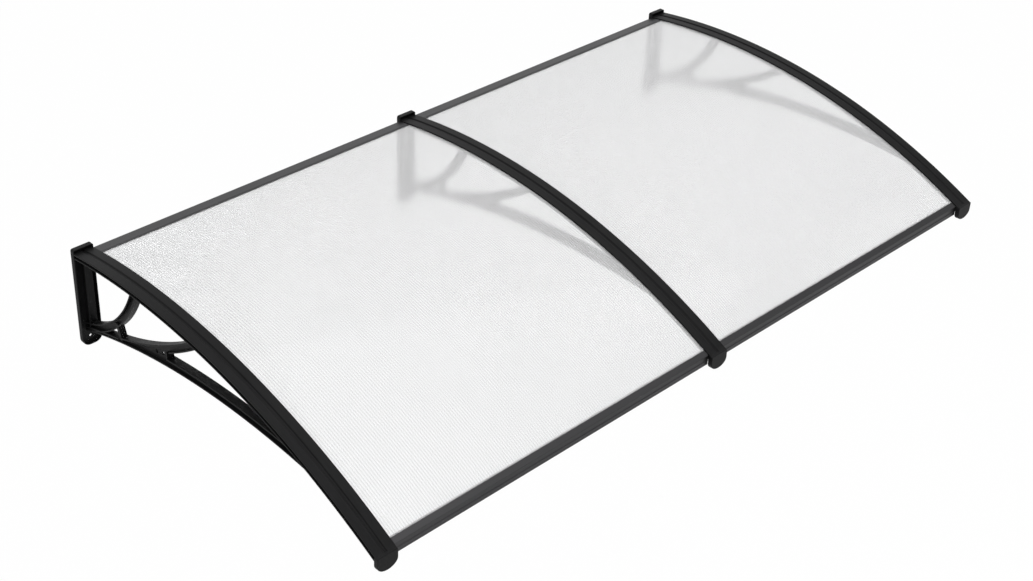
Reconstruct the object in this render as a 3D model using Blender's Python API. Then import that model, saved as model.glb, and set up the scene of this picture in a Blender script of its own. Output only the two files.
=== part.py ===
"""Door awning with two bays: three moulded brackets, two twin-wall sheets, four edge bars and screws.

Metres, Z up. X runs along the wall, the wall is the plane Y = 0 and the awning reaches out to -Y.
The origin is the centre of the middle bracket's back face. Side profiles are drawn as reach, the
distance out from the wall, and height, measured from the middle of the wall plate.
"""
from math import asin, cos, hypot, pi, radians, sin, sqrt

import bmesh
import bpy
from mathutils import Vector

# Overall layout
BAYS = 2
BAY_PITCH = 0.975
PROJECTION = 1.028
GAP = 0.0003

# Wall plate, a shallow tray with its open side to the front
PLATE_WIDTH = 0.053
PLATE_HEIGHT = 0.258
PLATE_DEPTH = 0.0125
PLATE_WALL = 0.003
PLATE_FLOOR = 0.003
PLATE_FOOT_RADIUS = 0.020
PLATE_TOP_RADIUS = 0.005
WALL_HOLE = 0.007
WALL_HOLE_RISE = 0.018

# Curved rail, an H section that holds a sheet on each side of its web
RAIL_RADIUS = 1.6657
RAIL_CREST_REACH = 0.2075
RAIL_DROP_AT_WALL = 0.0105
RAIL_WIDTH = 0.051
RAIL_WEB = 0.005
TOP_FLANGE = 0.0036
LOWER_FLANGE = 0.0032
GROOVE_WIDTH = 0.009
GROOVE_DEPTH = 0.0012

# Nose plate at the front end of the rail
NOSE_WIDTH = 0.052
NOSE_THICKNESS = 0.0115
NOSE_DEPTH = 0.0345
NOSE_RISE = 0.0025
NOSE_CORNER = 0.004
NOSE_CHIN = 0.018

# Bracing under the rail, thin webs edged with flanges
BRACE_DEPTH = 0.020
BRACE_FLANGE = 0.0035
STRUT_WIDTH = 0.021
STRUT_WEB = 0.0044
ARC_WIDTH = 0.020
ARC_WEB = 0.004
FLANGE_RUN_OUT = 0.008
FLANGE_BEAD = 0.0005
FILL_WEB = 0.0036
FORK_WALL_WIDTH = 0.019
SPINE_WIDTH = 0.019
SPINE_WEB = 0.005
SPINE_REACH = 0.024
STRUT_FOOT_RISE = 0.0355
STRUT_HEEL_DEPTH = 0.010
STRUT_CREST_REACH = 0.580
STRUT_CREST_RISE = 0.0885
STRUT_FORK_REACH = 0.335
FIRST_ARC_FOOT_RISE = 0.058
FIRST_ARC_REACH = 0.213
FIRST_ARC_RADIUS = 0.310
LINK_REACH = 0.144
LINK_LEAN = 0.014
LINK_WIDTH = 0.016
LINK_DEPTH = 0.011
SECOND_ARC_REACH = 0.441
SECOND_ARC_RADIUS = 0.980
WEB_HOLE = 0.009
WEB_HOLE_REACH = 0.286
WEB_HOLE_SPACING = 0.023

# Twin-wall roof sheet
SHEET_THICKNESS = 0.0045
SHEET_SKIN = 0.0007
SHEET_RIB = 0.0008
SHEET_CELLS = 6
SHEET_EDGE_ROOM = 0.004

# Folded edge bars, which cap the sheets and hook into the rails with a tongue at each end
BAR_WALL = 0.0013
REAR_BAR_WIDTH = 0.036
REAR_BAR_LIP = 0.006
REAR_BAR_LIP_DROP = 0.0007
REAR_BAR_LEG = 0.029
FRONT_BAR_COVER = 0.0127
FRONT_BAR_LEG = 0.018
FRONT_BAR_HEIGHT = 0.0235
FRONT_BAR_RETURN = 0.008
FRONT_BAR_BEAD = 0.0012
FRONT_BAR_BEAD_DROP = 0.0125
TONGUE_WALL = 0.0012
TONGUE_LENGTH = 0.016
TONGUE_MARGIN = 0.003

# Screws that hold the tongues down on the lower flange of the rail
SCREW_SHANK = 0.003
SCREW_HEAD = 0.0065
SCREW_HEAD_HEIGHT = 0.002
SCREW_CROWN = 0.0043
SCREW_INSET = 0.008

RAIL_STEPS = 20
FIRST_ARC_STEPS = 11
SECOND_ARC_STEPS = 5
STRUT_STEPS = 9
STRUT_HEEL_STEPS = 3
NOSE_CORNER_STEPS = 2
CORNER_STEPS = 5
HOLE_SIDES = 12
SMALL_HOLE_SIDES = 8
SCREW_SIDES = 8
SMOOTH_ANGLE = radians(30)
TRIM_OVERRUN = 0.05
SAME_PLACE = 0.00003

# Levels inside the rail, measured down from its top face
SHEET_TOP_LEVEL = TOP_FLANGE + GAP
SHEET_UNDER_LEVEL = SHEET_TOP_LEVEL + SHEET_THICKNESS
TONGUE_TOP_LEVEL = SHEET_UNDER_LEVEL + GAP
TONGUE_UNDER_LEVEL = TONGUE_TOP_LEVEL + TONGUE_WALL
LOWER_FLANGE_LEVEL = TONGUE_UNDER_LEVEL + GAP
RAIL_DEPTH = LOWER_FLANGE_LEVEL + LOWER_FLANGE

PLATE_TOP = PLATE_HEIGHT / 2
PLATE_FOOT = -PLATE_HEIGHT / 2
EMBED = PLATE_FLOOR / 2
RAIL_HALF = RAIL_WIDTH / 2
BAR_HALF_LENGTH = BAY_PITCH / 2 - max(PLATE_WIDTH, RAIL_WIDTH, NOSE_WIDTH) / 2 - GAP
TONGUE_HALF_LENGTH = BAY_PITCH / 2 - RAIL_HALF + TONGUE_LENGTH
SHEET_HALF_WIDTH = BAY_PITCH / 2 - RAIL_WEB / 2 - SHEET_EDGE_ROOM
SCREW_ACROSS = RAIL_HALF - SCREW_INSET

FRONT_BAR_FACE = PROJECTION - NOSE_THICKNESS + GAP
SHEET_BACK = PLATE_DEPTH + GAP
SHEET_FRONT = FRONT_BAR_FACE - BAR_WALL - GAP
REAR_BAR_BACK = SHEET_BACK - GAP - BAR_WALL


class Arc:
    """A circle in the side view. Crest is +1 for a curve that humps up and -1 for one that sags."""

    def __init__(self, reach, height, radius, crest):
        self.reach = reach
        self.height = height
        self.radius = radius
        self.crest = crest

    def angle_at(self, reach, radius=None):
        return asin((reach - self.reach) / (radius or self.radius))

    def point(self, angle, radius=None):
        radius = radius or self.radius
        return self.reach + radius * sin(angle), self.height + self.crest * radius * cos(angle)

    def height_at(self, reach, radius=None):
        radius = radius or self.radius
        return self.height + self.crest * sqrt(radius ** 2 - (reach - self.reach) ** 2)


def arc_through(start, end, radius, crest):
    """The arc of a given radius between two points of the side view."""
    along = (end[0] - start[0], end[1] - start[1])
    chord = hypot(*along)
    middle = ((start[0] + end[0]) / 2, (start[1] + end[1]) / 2)
    back = crest * sqrt(radius ** 2 - chord ** 2 / 4) / chord
    return Arc(middle[0] + back * along[1], middle[1] - back * along[0], radius, crest)


RAIL = Arc(
    RAIL_CREST_REACH,
    PLATE_TOP - RAIL_DROP_AT_WALL - sqrt(RAIL_RADIUS ** 2 - RAIL_CREST_REACH ** 2),
    RAIL_RADIUS,
    1,
)
RAIL_UNDER = RAIL_RADIUS - RAIL_DEPTH


def strut_arc():
    """Lower edge of the strut, from its foot on the wall plate to its crest."""
    rise = STRUT_CREST_RISE
    radius = (STRUT_CREST_REACH ** 2 + rise ** 2) / (2 * rise)
    crest_height = PLATE_FOOT + STRUT_FOOT_RISE + rise
    return Arc(STRUT_CREST_REACH, crest_height - radius, radius, 1)


STRUT = strut_arc()
FIRST_ARC = arc_through(
    (0.0, PLATE_FOOT + FIRST_ARC_FOOT_RISE),
    (FIRST_ARC_REACH, RAIL.height_at(FIRST_ARC_REACH, RAIL_UNDER)),
    FIRST_ARC_RADIUS,
    -1,
)
SECOND_ARC_START = LINK_REACH + LINK_DEPTH / 2
SECOND_ARC = arc_through(
    (SECOND_ARC_START, STRUT.height_at(SECOND_ARC_START) + STRUT_HEEL_DEPTH + BRACE_FLANGE),
    (SECOND_ARC_REACH, RAIL.height_at(SECOND_ARC_REACH, RAIL_UNDER)),
    SECOND_ARC_RADIUS,
    -1,
)


def blend(start, end, share):
    return start + (end - start) * min(1.0, max(0.0, share))


def new_object(name, bm):
    """Turn a finished bmesh into an object with its faces pointing out."""
    bmesh.ops.recalc_face_normals(bm, faces=bm.faces)
    mesh = bpy.data.meshes.new(name)
    bm.to_mesh(mesh)
    bm.free()
    thing = bpy.data.objects.new(name, mesh)
    bpy.context.scene.collection.objects.link(thing)
    return thing


def loft(name, rings):
    """Closed solid through a row of matching closed rings, capped at both ends."""
    bm = bmesh.new()
    rows = [[bm.verts.new(point) for point in ring] for ring in rings]
    count = len(rows[0])
    for row, following in zip(rows, rows[1:]):
        for i in range(count):
            j = (i + 1) % count
            bm.faces.new((row[i], row[j], following[j], following[i]))
    bm.faces.new(rows[0])
    bm.faces.new(rows[-1])
    return new_object(name, bm)


def sweep(name, arc, angles, section):
    """Sweep a section of (across, radius) pairs, or a rule that gives one, along an arc."""
    rings = []
    for angle in angles:
        pairs = section(angle) if callable(section) else section
        ring = []
        for across, radius in pairs:
            reach, height = arc.point(angle, radius)
            ring.append((across, -reach, height))
        rings.append(ring)
    return loft(name, rings)


def steps(start, end, count):
    return [start + (end - start) * i / count for i in range(count + 1)]


def strip(half, low, high):
    """Rectangular section between two radii."""
    return [(-half, low), (half, low), (half, high), (-half, high)]


def prism_along_y(name, outline, near, far):
    """Extrude an outline of (across, height) from one reach to another."""
    rings = [[(across, -reach, height) for across, height in outline] for reach in (near, far)]
    return loft(name, rings)


def prism_along_x(name, outline, half):
    """Extrude an outline of (reach, height) to both sides of X = 0."""
    rings = [[(x, -reach, height) for reach, height in outline] for x in (-half, half)]
    return loft(name, rings)


def boxed(low_reach, high_reach, low_height, high_height):
    return [
        (low_reach, low_height),
        (high_reach, low_height),
        (high_reach, high_height),
        (low_reach, high_height),
    ]


def round_bar(name, centre, direction, radius, length, sides=HOLE_SIDES):
    """Cylinder around a point, along a direction."""
    bm = bmesh.new()
    bmesh.ops.create_cone(
        bm, cap_ends=True, segments=sides, radius1=radius, radius2=radius, depth=length
    )
    turn = Vector((0, 0, 1)).rotation_difference(Vector(direction)).to_matrix().to_4x4()
    bmesh.ops.transform(bm, matrix=turn, verts=bm.verts)
    bmesh.ops.translate(bm, vec=Vector(centre), verts=bm.verts)
    return new_object(name, bm)


def combine(base, others, operation):
    """Join or cut one solid with all the others in one step and keep only the result."""
    group = bpy.data.collections.new("operands")
    for other in others:
        group.objects.link(other)
    modifier = base.modifiers.new(operation.title(), "BOOLEAN")
    modifier.operation = operation
    modifier.solver = "EXACT"
    modifier.operand_type = "COLLECTION"
    modifier.collection = group
    bpy.context.view_layer.update()
    shaped = base.evaluated_get(bpy.context.evaluated_depsgraph_get())
    old = base.data
    result = bpy.data.meshes.new_from_object(shaped)
    base.modifiers.clear()
    base.data = result
    bpy.data.meshes.remove(old)
    for other in others:
        drop(other)
    bpy.data.collections.remove(group)
    return base


def drop(thing):
    mesh = thing.data
    bpy.data.objects.remove(thing)
    bpy.data.meshes.remove(mesh)


def rounded_plate(half, top, foot, top_radius, foot_radius):
    """Outline of (across, height) with round corners, anticlockwise from the lower right."""
    outline = []
    corners = (
        (half, foot, foot_radius, -pi / 2),
        (half, top, top_radius, 0.0),
        (-half, top, top_radius, pi / 2),
        (-half, foot, foot_radius, pi),
    )
    for across, height, radius, turn in corners:
        centre_across = across - radius if across > 0 else across + radius
        centre_height = height - radius if height == top else height + radius
        for angle in steps(turn, turn + pi / 2, CORNER_STEPS):
            outline.append((centre_across + radius * cos(angle), centre_height + radius * sin(angle)))
    return outline


def wall_plate():
    """Tray that screws to the wall, with round lower corners."""
    half = PLATE_WIDTH / 2
    outer = rounded_plate(half, PLATE_TOP, PLATE_FOOT, PLATE_TOP_RADIUS, PLATE_FOOT_RADIUS)
    inner = rounded_plate(
        half - PLATE_WALL,
        PLATE_TOP - PLATE_WALL,
        PLATE_FOOT + PLATE_WALL,
        PLATE_TOP_RADIUS - PLATE_WALL,
        PLATE_FOOT_RADIUS - PLATE_WALL,
    )
    tray = prism_along_y("plate", outer, 0.0, PLATE_DEPTH)
    hollow = prism_along_y("plate_hollow", inner, PLATE_FLOOR, 2 * PLATE_DEPTH)
    return combine(tray, [hollow], "DIFFERENCE")


def rail_angles():
    """The stations that the rail and everything fitted to it share."""
    start = RAIL.angle_at(EMBED / 2)
    end = RAIL.angle_at(PROJECTION - EMBED)
    return steps(start, end, RAIL_STEPS)


def rail_section():
    """H section with a shallow groove along the middle of its top face."""
    web = RAIL_WEB / 2
    groove = GROOVE_WIDTH / 2
    top = RAIL_RADIUS
    right = [
        (groove, top - GROOVE_DEPTH),
        (groove, top),
        (RAIL_HALF, top),
        (RAIL_HALF, top - TOP_FLANGE),
        (web, top - TOP_FLANGE),
        (web, top - LOWER_FLANGE_LEVEL),
        (RAIL_HALF, top - LOWER_FLANGE_LEVEL),
        (RAIL_HALF, top - RAIL_DEPTH),
    ]
    left = [(-across, radius) for across, radius in reversed(right)]
    return right + left


def nose_plate():
    """Upright end plate with a straight top and a round chin."""
    half = NOSE_WIDTH / 2
    top = RAIL.height_at(PROJECTION) + NOSE_RISE
    chin = top - NOSE_DEPTH + NOSE_CHIN
    outline = []
    for centre, turn in ((half - NOSE_CORNER, 0.0), (NOSE_CORNER - half, pi / 2)):
        for angle in steps(turn, turn + pi / 2, NOSE_CORNER_STEPS):
            outline.append((centre + NOSE_CORNER * cos(angle), top - NOSE_CORNER + NOSE_CORNER * sin(angle)))
    for angle in steps(pi, 2 * pi, 2 * CORNER_STEPS):
        outline.append((half * cos(angle), chin + NOSE_CHIN * sin(angle)))
    return prism_along_y("nose", outline, PROJECTION - NOSE_THICKNESS, PROJECTION)


def flanged(near, far, half, web, far_half):
    """I section of a brace between two radii, with a flange of its own width along each edge."""
    right = [
        (half, near),
        (half, near + BRACE_FLANGE),
        (web, near + BRACE_FLANGE),
        (web, far - BRACE_FLANGE),
        (far_half, far - BRACE_FLANGE),
        (far_half, far),
    ]
    return right + [(-across, radius) for across, radius in reversed(right)]


def strut_piece():
    """Long lower strut: thin at its heel, deeper past the fork with the second arc.

    Its upper flange runs out to a low bead between the link and the fork.
    """
    link = STRUT.angle_at(LINK_REACH)
    fork = STRUT.angle_at(STRUT_FORK_REACH)
    run_out = FLANGE_RUN_OUT / STRUT.radius
    under = STRUT.radius
    half = STRUT_WIDTH / 2
    web = STRUT_WEB / 2

    def section(angle):
        depth = blend(STRUT_HEEL_DEPTH, BRACE_DEPTH, (angle - link) / (fork - link))
        far_half = web + FLANGE_BEAD if link < angle < fork else half
        return flanged(under, under + depth, half, web, far_half)

    heel = steps(STRUT.angle_at(-EMBED), link, STRUT_HEEL_STEPS)
    middle = steps(link + run_out, fork - run_out, STRUT_HEEL_STEPS)
    front = steps(fork, STRUT.angle_at(PROJECTION - NOSE_THICKNESS), STRUT_STEPS)
    return sweep("strut", STRUT, heel + middle + front, section)


def first_arc_piece():
    """Brace from the foot of the plate up to the rail."""
    inner = FIRST_ARC.radius
    start = FIRST_ARC.angle_at(-EMBED)
    end = FIRST_ARC.angle_at(FIRST_ARC_REACH) + BRACE_DEPTH / inner
    half = ARC_WIDTH / 2
    section = flanged(inner, inner + BRACE_DEPTH, half, ARC_WEB / 2, half)
    return sweep("first_arc", FIRST_ARC, steps(start, end, FIRST_ARC_STEPS), section)


def second_arc_piece():
    """Brace that leaves the strut at the link and sweeps up to the rail, free of the strut past the fork."""
    top = SECOND_ARC.radius
    start = SECOND_ARC.angle_at(SECOND_ARC_START)
    fork = SECOND_ARC.angle_at(STRUT_FORK_REACH)
    end = SECOND_ARC.angle_at(SECOND_ARC_REACH) + 2 * BRACE_DEPTH / top
    half = ARC_WIDTH / 2
    web = ARC_WEB / 2

    def section(angle):
        depth = blend(STRUT_HEEL_DEPTH, BRACE_DEPTH, (angle - start) / (fork - start))
        far_half = web + FLANGE_BEAD if angle < fork else half
        return flanged(top, top + depth, half, web, far_half)

    joined = steps(start, fork - FLANGE_RUN_OUT / top, SECOND_ARC_STEPS)
    free = steps(fork, end, SECOND_ARC_STEPS)
    return sweep("second_arc", SECOND_ARC, joined + free, section)


def fork_pieces():
    """Web that fills the wedge between the strut and the second arc, and the wall that closes it."""
    reaches = steps(LINK_REACH, STRUT_FORK_REACH, SECOND_ARC_STEPS)
    half_flange = BRACE_FLANGE / 2
    under = [(reach, STRUT.height_at(reach) + half_flange) for reach in reaches]
    over = [(reach, SECOND_ARC.height_at(reach) - half_flange) for reach in reaches]
    wall_reach = STRUT_FORK_REACH - BRACE_FLANGE
    low = STRUT.height_at(STRUT_FORK_REACH) + BRACE_DEPTH - half_flange
    high = SECOND_ARC.height_at(wall_reach) - BRACE_DEPTH + half_flange
    return [
        prism_along_x("fork_web", under + over[::-1], FILL_WEB / 2),
        prism_along_x("fork_wall", boxed(wall_reach, STRUT_FORK_REACH, low, high), FORK_WALL_WIDTH / 2),
    ]


def spine_pieces():
    """Upright web and flange on the wall plate, behind the first opening."""
    top = RAIL.height_at(SPINE_REACH)
    foot = FIRST_ARC.height_at(SPINE_REACH) - BRACE_DEPTH / 2
    web = boxed(EMBED, SPINE_REACH - BRACE_FLANGE / 2, foot, top)
    flange = boxed(SPINE_REACH - BRACE_FLANGE, SPINE_REACH, foot, top)
    return [
        prism_along_x("spine_web", web, SPINE_WEB / 2),
        prism_along_x("spine_flange", flange, SPINE_WIDTH / 2),
    ]


def link_piece():
    """Short block between the first arc and the strut."""
    top_reach = LINK_REACH - LINK_LEAN / 2
    foot_reach = LINK_REACH + LINK_LEAN / 2
    middle_radius = FIRST_ARC.radius + BRACE_DEPTH / 2
    top = FIRST_ARC.height_at(top_reach, middle_radius)
    foot = STRUT.height_at(foot_reach) + STRUT_HEEL_DEPTH / 2
    half = LINK_DEPTH / 2
    outline = [
        (foot_reach - half, foot),
        (foot_reach + half, foot),
        (top_reach + half, top),
        (top_reach - half, top),
    ]
    return prism_along_x("link", outline, LINK_WIDTH / 2)


def bracing():
    """All braces as one solid, trimmed inside the lower flange and inside the plate's floor."""
    pieces = [strut_piece(), first_arc_piece(), second_arc_piece(), link_piece()]
    pieces += fork_pieces() + spine_pieces()
    braces = combine(pieces[0], pieces[1:], "UNION")
    angles = rail_angles()
    wide = [angles[0] - TRIM_OVERRUN] + angles + [angles[-1] + TRIM_OVERRUN]
    trim_radius = RAIL_UNDER + LOWER_FLANGE / 2
    above = sweep("trim_above", RAIL, wide, strip(PLATE_WIDTH, trim_radius, RAIL_RADIUS + PLATE_HEIGHT))
    behind = prism_along_x("trim_behind", boxed(-PLATE_HEIGHT, EMBED, -PLATE_HEIGHT, PLATE_HEIGHT), PLATE_WIDTH)
    return combine(braces, [above, behind], "DIFFERENCE")


def wall_hole_cutters():
    """The screw hole at the foot of the plate."""
    middle = (0.0, 0.0, PLATE_FOOT + WALL_HOLE_RISE)
    return [round_bar("wall_hole", middle, (0, 1, 0), WALL_HOLE / 2, 3 * PLATE_FLOOR)]


def web_hole_cutters():
    """Two small holes through the web where the second arc and the strut part."""
    cutters = []
    for reach in (WEB_HOLE_REACH, WEB_HOLE_REACH + WEB_HOLE_SPACING):
        low = STRUT.height_at(reach) + BRACE_FLANGE
        high = SECOND_ARC.height_at(reach) - BRACE_FLANGE
        cutters.append(
            round_bar("web_hole", (0.0, -reach, (low + high) / 2), (1, 0, 0), WEB_HOLE / 2, 2 * STRUT_WEB)
        )
    return cutters


def screw_seat(angle):
    """Point on the rail's underside at an angle, and the direction square to it."""
    reach, height = RAIL.point(angle, RAIL_UNDER)
    return Vector((0.0, -reach, height)), Vector((0.0, -sin(angle), cos(angle)))


def tongue_hole_cutters(angle, across_places):
    """Screw holes through the lower flange and the tongue above it."""
    seat, square = screw_seat(angle)
    middle = seat + square * ((LOWER_FLANGE + TONGUE_WALL) / 2)
    return [
        round_bar(
            "tongue_hole",
            middle + Vector((across, 0.0, 0.0)),
            square,
            SCREW_SHANK / 2 + GAP,
            RAIL_DEPTH - SHEET_TOP_LEVEL,
            SMALL_HOLE_SIDES,
        )
        for across in across_places
    ]


def bracket_mesh():
    """One moulding: rail, nose, wall plate and bracing."""
    rail = sweep("rail", RAIL, rail_angles(), rail_section())
    moulding = combine(rail, [wall_plate(), nose_plate(), bracing()], "UNION")
    sides = (-SCREW_ACROSS, SCREW_ACROSS)
    cutters = wall_hole_cutters() + web_hole_cutters()
    cutters += tongue_hole_cutters(REAR_SCREW_ANGLE, sides) + tongue_hole_cutters(FRONT_SCREW_ANGLE, sides)
    moulding = combine(moulding, cutters, "DIFFERENCE")
    mesh = moulding.data
    bpy.data.objects.remove(moulding)
    return mesh


def sheet_mesh():
    """Curved twin-wall sheet: two skins with ribs between them, its cells open at both ends."""
    high = RAIL_RADIUS - SHEET_TOP_LEVEL
    low = RAIL_RADIUS - SHEET_UNDER_LEVEL
    start = RAIL.angle_at(SHEET_BACK, high)
    end = RAIL.angle_at(SHEET_FRONT, high)
    margin = (end - start) / (4 * RAIL_STEPS)
    inside = [angle for angle in rail_angles() if start + margin < angle < end - margin]
    angles = [start] + inside + [end]
    width = 2 * SHEET_HALF_WIDTH
    cell = (width - SHEET_RIB * (SHEET_CELLS + 1)) / SHEET_CELLS
    sections = [strip(SHEET_HALF_WIDTH, low, high)]
    for i in range(SHEET_CELLS):
        left = -SHEET_HALF_WIDTH + SHEET_RIB + i * (cell + SHEET_RIB)
        right = left + cell
        floor, roof = low + SHEET_SKIN, high - SHEET_SKIN
        sections.append([(left, floor), (right, floor), (right, roof), (left, roof)])
    bm = bmesh.new()
    ends = ([], [])
    for section in sections:
        rows = []
        for angle in angles:
            places = [RAIL.point(angle, radius) for across, radius in section]
            rows.append([
                bm.verts.new((across, -reach, height))
                for (across, radius), (reach, height) in zip(section, places)
            ])
        for row, following in zip(rows, rows[1:]):
            for i in range(4):
                j = (i + 1) % 4
                bm.faces.new((row[i], row[j], following[j], following[i]))
        for row, rim in ((rows[0], ends[0]), (rows[-1], ends[1])):
            rim.extend(bm.edges.get((row[i], row[(i + 1) % 4])) for i in range(4))
    for rim in ends:
        bmesh.ops.triangle_fill(bm, edges=rim, use_beauty=True)
    sheet = new_object("sheet", bm)
    mesh = sheet.data
    bpy.data.objects.remove(sheet)
    return mesh


class Slope:
    """Straight levels through a bar, square to the rail at one of its angles."""

    def __init__(self, angle):
        self.angle = angle
        self.reach, self.height = RAIL.point(angle)

    def at(self, level, reach):
        """Point at a level under the rail's top face and at a reach from the wall."""
        along = (reach - self.reach + level * sin(self.angle)) / cos(self.angle)
        height = self.height - level * cos(self.angle) - along * sin(self.angle)
        return reach, height


BAR_TOP_LEVEL = SHEET_TOP_LEVEL - GAP - BAR_WALL
BAR_ROOF_LEVEL = SHEET_TOP_LEVEL - GAP
REAR_TONGUE = (SHEET_BACK + TONGUE_MARGIN, SHEET_BACK + REAR_BAR_LEG - TONGUE_MARGIN)
FRONT_TONGUE = (SHEET_FRONT - FRONT_BAR_LEG + TONGUE_MARGIN, SHEET_FRONT - TONGUE_MARGIN)
REAR_SCREW_ANGLE = RAIL.angle_at(sum(REAR_TONGUE) / 2, RAIL_RADIUS - TONGUE_TOP_LEVEL)
FRONT_SCREW_ANGLE = RAIL.angle_at(sum(FRONT_TONGUE) / 2, RAIL_RADIUS - TONGUE_TOP_LEVEL)


def rear_bar_outline():
    """Channel over the rear edge of the sheet, with a lower lip along its front."""
    slope = Slope(REAR_SCREW_ANGLE)
    lip_end = REAR_BAR_BACK + REAR_BAR_WIDTH
    lip_start = lip_end - REAR_BAR_LIP
    lip_level = BAR_TOP_LEVEL + REAR_BAR_LIP_DROP
    leg_end = SHEET_BACK + REAR_BAR_LEG
    before = [
        slope.at(BAR_TOP_LEVEL, REAR_BAR_BACK),
        slope.at(BAR_TOP_LEVEL, lip_start),
        slope.at(lip_level, lip_start + REAR_BAR_LIP_DROP),
        slope.at(lip_level, lip_end),
        slope.at(BAR_ROOF_LEVEL, lip_end),
        slope.at(BAR_ROOF_LEVEL, REAR_BAR_BACK + BAR_WALL),
        slope.at(TONGUE_TOP_LEVEL, REAR_BAR_BACK + BAR_WALL),
    ]
    tongue = [
        slope.at(TONGUE_TOP_LEVEL, REAR_TONGUE[0]),
        slope.at(TONGUE_TOP_LEVEL, REAR_TONGUE[1]),
    ]
    after = [
        slope.at(TONGUE_TOP_LEVEL, leg_end),
        slope.at(TONGUE_UNDER_LEVEL, leg_end),
    ]
    under = [
        slope.at(TONGUE_UNDER_LEVEL, REAR_TONGUE[1]),
        slope.at(TONGUE_UNDER_LEVEL, REAR_TONGUE[0]),
    ]
    return before, tongue, after, under, [slope.at(TONGUE_UNDER_LEVEL, REAR_BAR_BACK)]


def front_bar_outline():
    """Channel over the front edge of the sheet, with a tall face, a bead and a return at its foot."""
    slope = Slope(FRONT_SCREW_ANGLE)
    face = FRONT_BAR_FACE
    inner = face - BAR_WALL
    cover = face - FRONT_BAR_COVER
    leg_end = SHEET_FRONT - FRONT_BAR_LEG
    top = slope.at(BAR_TOP_LEVEL, face)[1]
    foot = top - FRONT_BAR_HEIGHT
    bead = top - FRONT_BAR_BEAD_DROP
    before = [
        slope.at(TONGUE_TOP_LEVEL, inner),
        slope.at(BAR_ROOF_LEVEL, inner),
        slope.at(BAR_ROOF_LEVEL, cover),
        slope.at(BAR_TOP_LEVEL, cover),
        (face, top),
        (face, bead + FRONT_BAR_BEAD),
        (face + FRONT_BAR_BEAD, bead + FRONT_BAR_BEAD / 2),
        (face + FRONT_BAR_BEAD, bead - FRONT_BAR_BEAD / 2),
        (face, bead - FRONT_BAR_BEAD),
        (face, foot),
        (face - FRONT_BAR_RETURN, foot),
        (face - FRONT_BAR_RETURN, foot + BAR_WALL),
        (inner, foot + BAR_WALL),
        slope.at(TONGUE_UNDER_LEVEL, inner),
    ]
    tongue = [
        slope.at(TONGUE_UNDER_LEVEL, FRONT_TONGUE[1]),
        slope.at(TONGUE_UNDER_LEVEL, FRONT_TONGUE[0]),
    ]
    after = [
        slope.at(TONGUE_UNDER_LEVEL, leg_end),
        slope.at(TONGUE_TOP_LEVEL, leg_end),
    ]
    under = [
        slope.at(TONGUE_TOP_LEVEL, FRONT_TONGUE[0]),
        slope.at(TONGUE_TOP_LEVEL, FRONT_TONGUE[1]),
    ]
    return before, tongue, after, under, []


def bar_mesh(parts, screw_angle):
    """Extrude a bar's outline and draw its tongue out past both ends."""
    outline = [point for part in parts for point in part]
    tongue = parts[1] + parts[3]
    bar = prism_along_x("bar", outline, BAR_HALF_LENGTH)
    bm = bmesh.new()
    bm.from_mesh(bar.data)
    drop(bar)
    for side in (-1, 1):
        x = side * BAR_HALF_LENGTH
        cap = next(f for f in bm.faces if all(abs(v.co.x - x) < SAME_PLACE for v in f.verts))
        ring = sorted(cap.verts, key=lambda v: corner_index(outline, v))
        marks = [outline.index(point) for point in tongue]
        corners = [ring[i] for i in marks]
        first_part = ring[marks[3]:] + ring[:marks[0] + 1]
        last_part = ring[marks[1]:marks[2] + 1]
        bm.faces.remove(cap)
        bm.faces.new(first_part)
        bm.faces.new(last_part)
        tongue_face = bm.faces.new(corners)
        grown = bmesh.ops.extrude_face_region(bm, geom=[tongue_face])
        tips = [v for v in grown["geom"] if isinstance(v, bmesh.types.BMVert)]
        bm.faces.remove(tongue_face)
        for tip in tips:
            tip.co.x = side * TONGUE_HALF_LENGTH
    shaped = new_object("bar", bm)
    across = BAY_PITCH / 2 - SCREW_ACROSS
    shaped = combine(shaped, tongue_hole_cutters(screw_angle, (-across, across)), "DIFFERENCE")
    mesh = shaped.data
    bpy.data.objects.remove(shaped)
    return mesh


def corner_index(outline, vert):
    distances = [hypot(-vert.co.y - reach, vert.co.z - height) for reach, height in outline]
    return distances.index(min(distances))


def screw_mesh():
    """Pan head screw along Z, with the seat of its head at the origin and its shank upwards."""
    top = LOWER_FLANGE + GAP + TONGUE_WALL + GAP
    profile = [
        (SCREW_SHANK / 2, top),
        (SCREW_SHANK / 2, 0.0),
        (SCREW_HEAD / 2, 0.0),
        (SCREW_HEAD / 2, -SCREW_HEAD_HEIGHT / 2),
        (SCREW_CROWN / 2, -SCREW_HEAD_HEIGHT),
    ]
    rings = []
    for radius, height in profile:
        turns = [2 * pi * i / SCREW_SIDES for i in range(SCREW_SIDES)]
        rings.append([(radius * cos(turn), radius * sin(turn), height) for turn in turns])
    screw = loft("screw", rings)
    mesh = screw.data
    bpy.data.objects.remove(screw)
    return mesh


def material(name, colour, roughness, metallic):
    made = bpy.data.materials.new(name)
    made.use_nodes = True
    shader = made.node_tree.nodes["Principled BSDF"]
    shader.inputs["Base Color"].default_value = (*colour, 1.0)
    shader.inputs["Roughness"].default_value = roughness
    shader.inputs["Metallic"].default_value = metallic
    return made


def smooth(mesh):
    """Shade round faces smooth and keep the corners sharp."""
    mesh.shade_smooth()
    mesh.set_sharp_from_angle(angle=SMOOTH_ANGLE)
    return mesh


def place(name, mesh, look, location, turn=0.0):
    """Add one sub-part, turned about X where it follows the slope of the rail."""
    thing = bpy.data.objects.new(name, mesh)
    thing.location = location
    thing.rotation_euler = (turn, 0.0, 0.0)
    if not mesh.materials:
        mesh.materials.append(look)
    bpy.context.scene.collection.objects.link(thing)
    return thing


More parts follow.
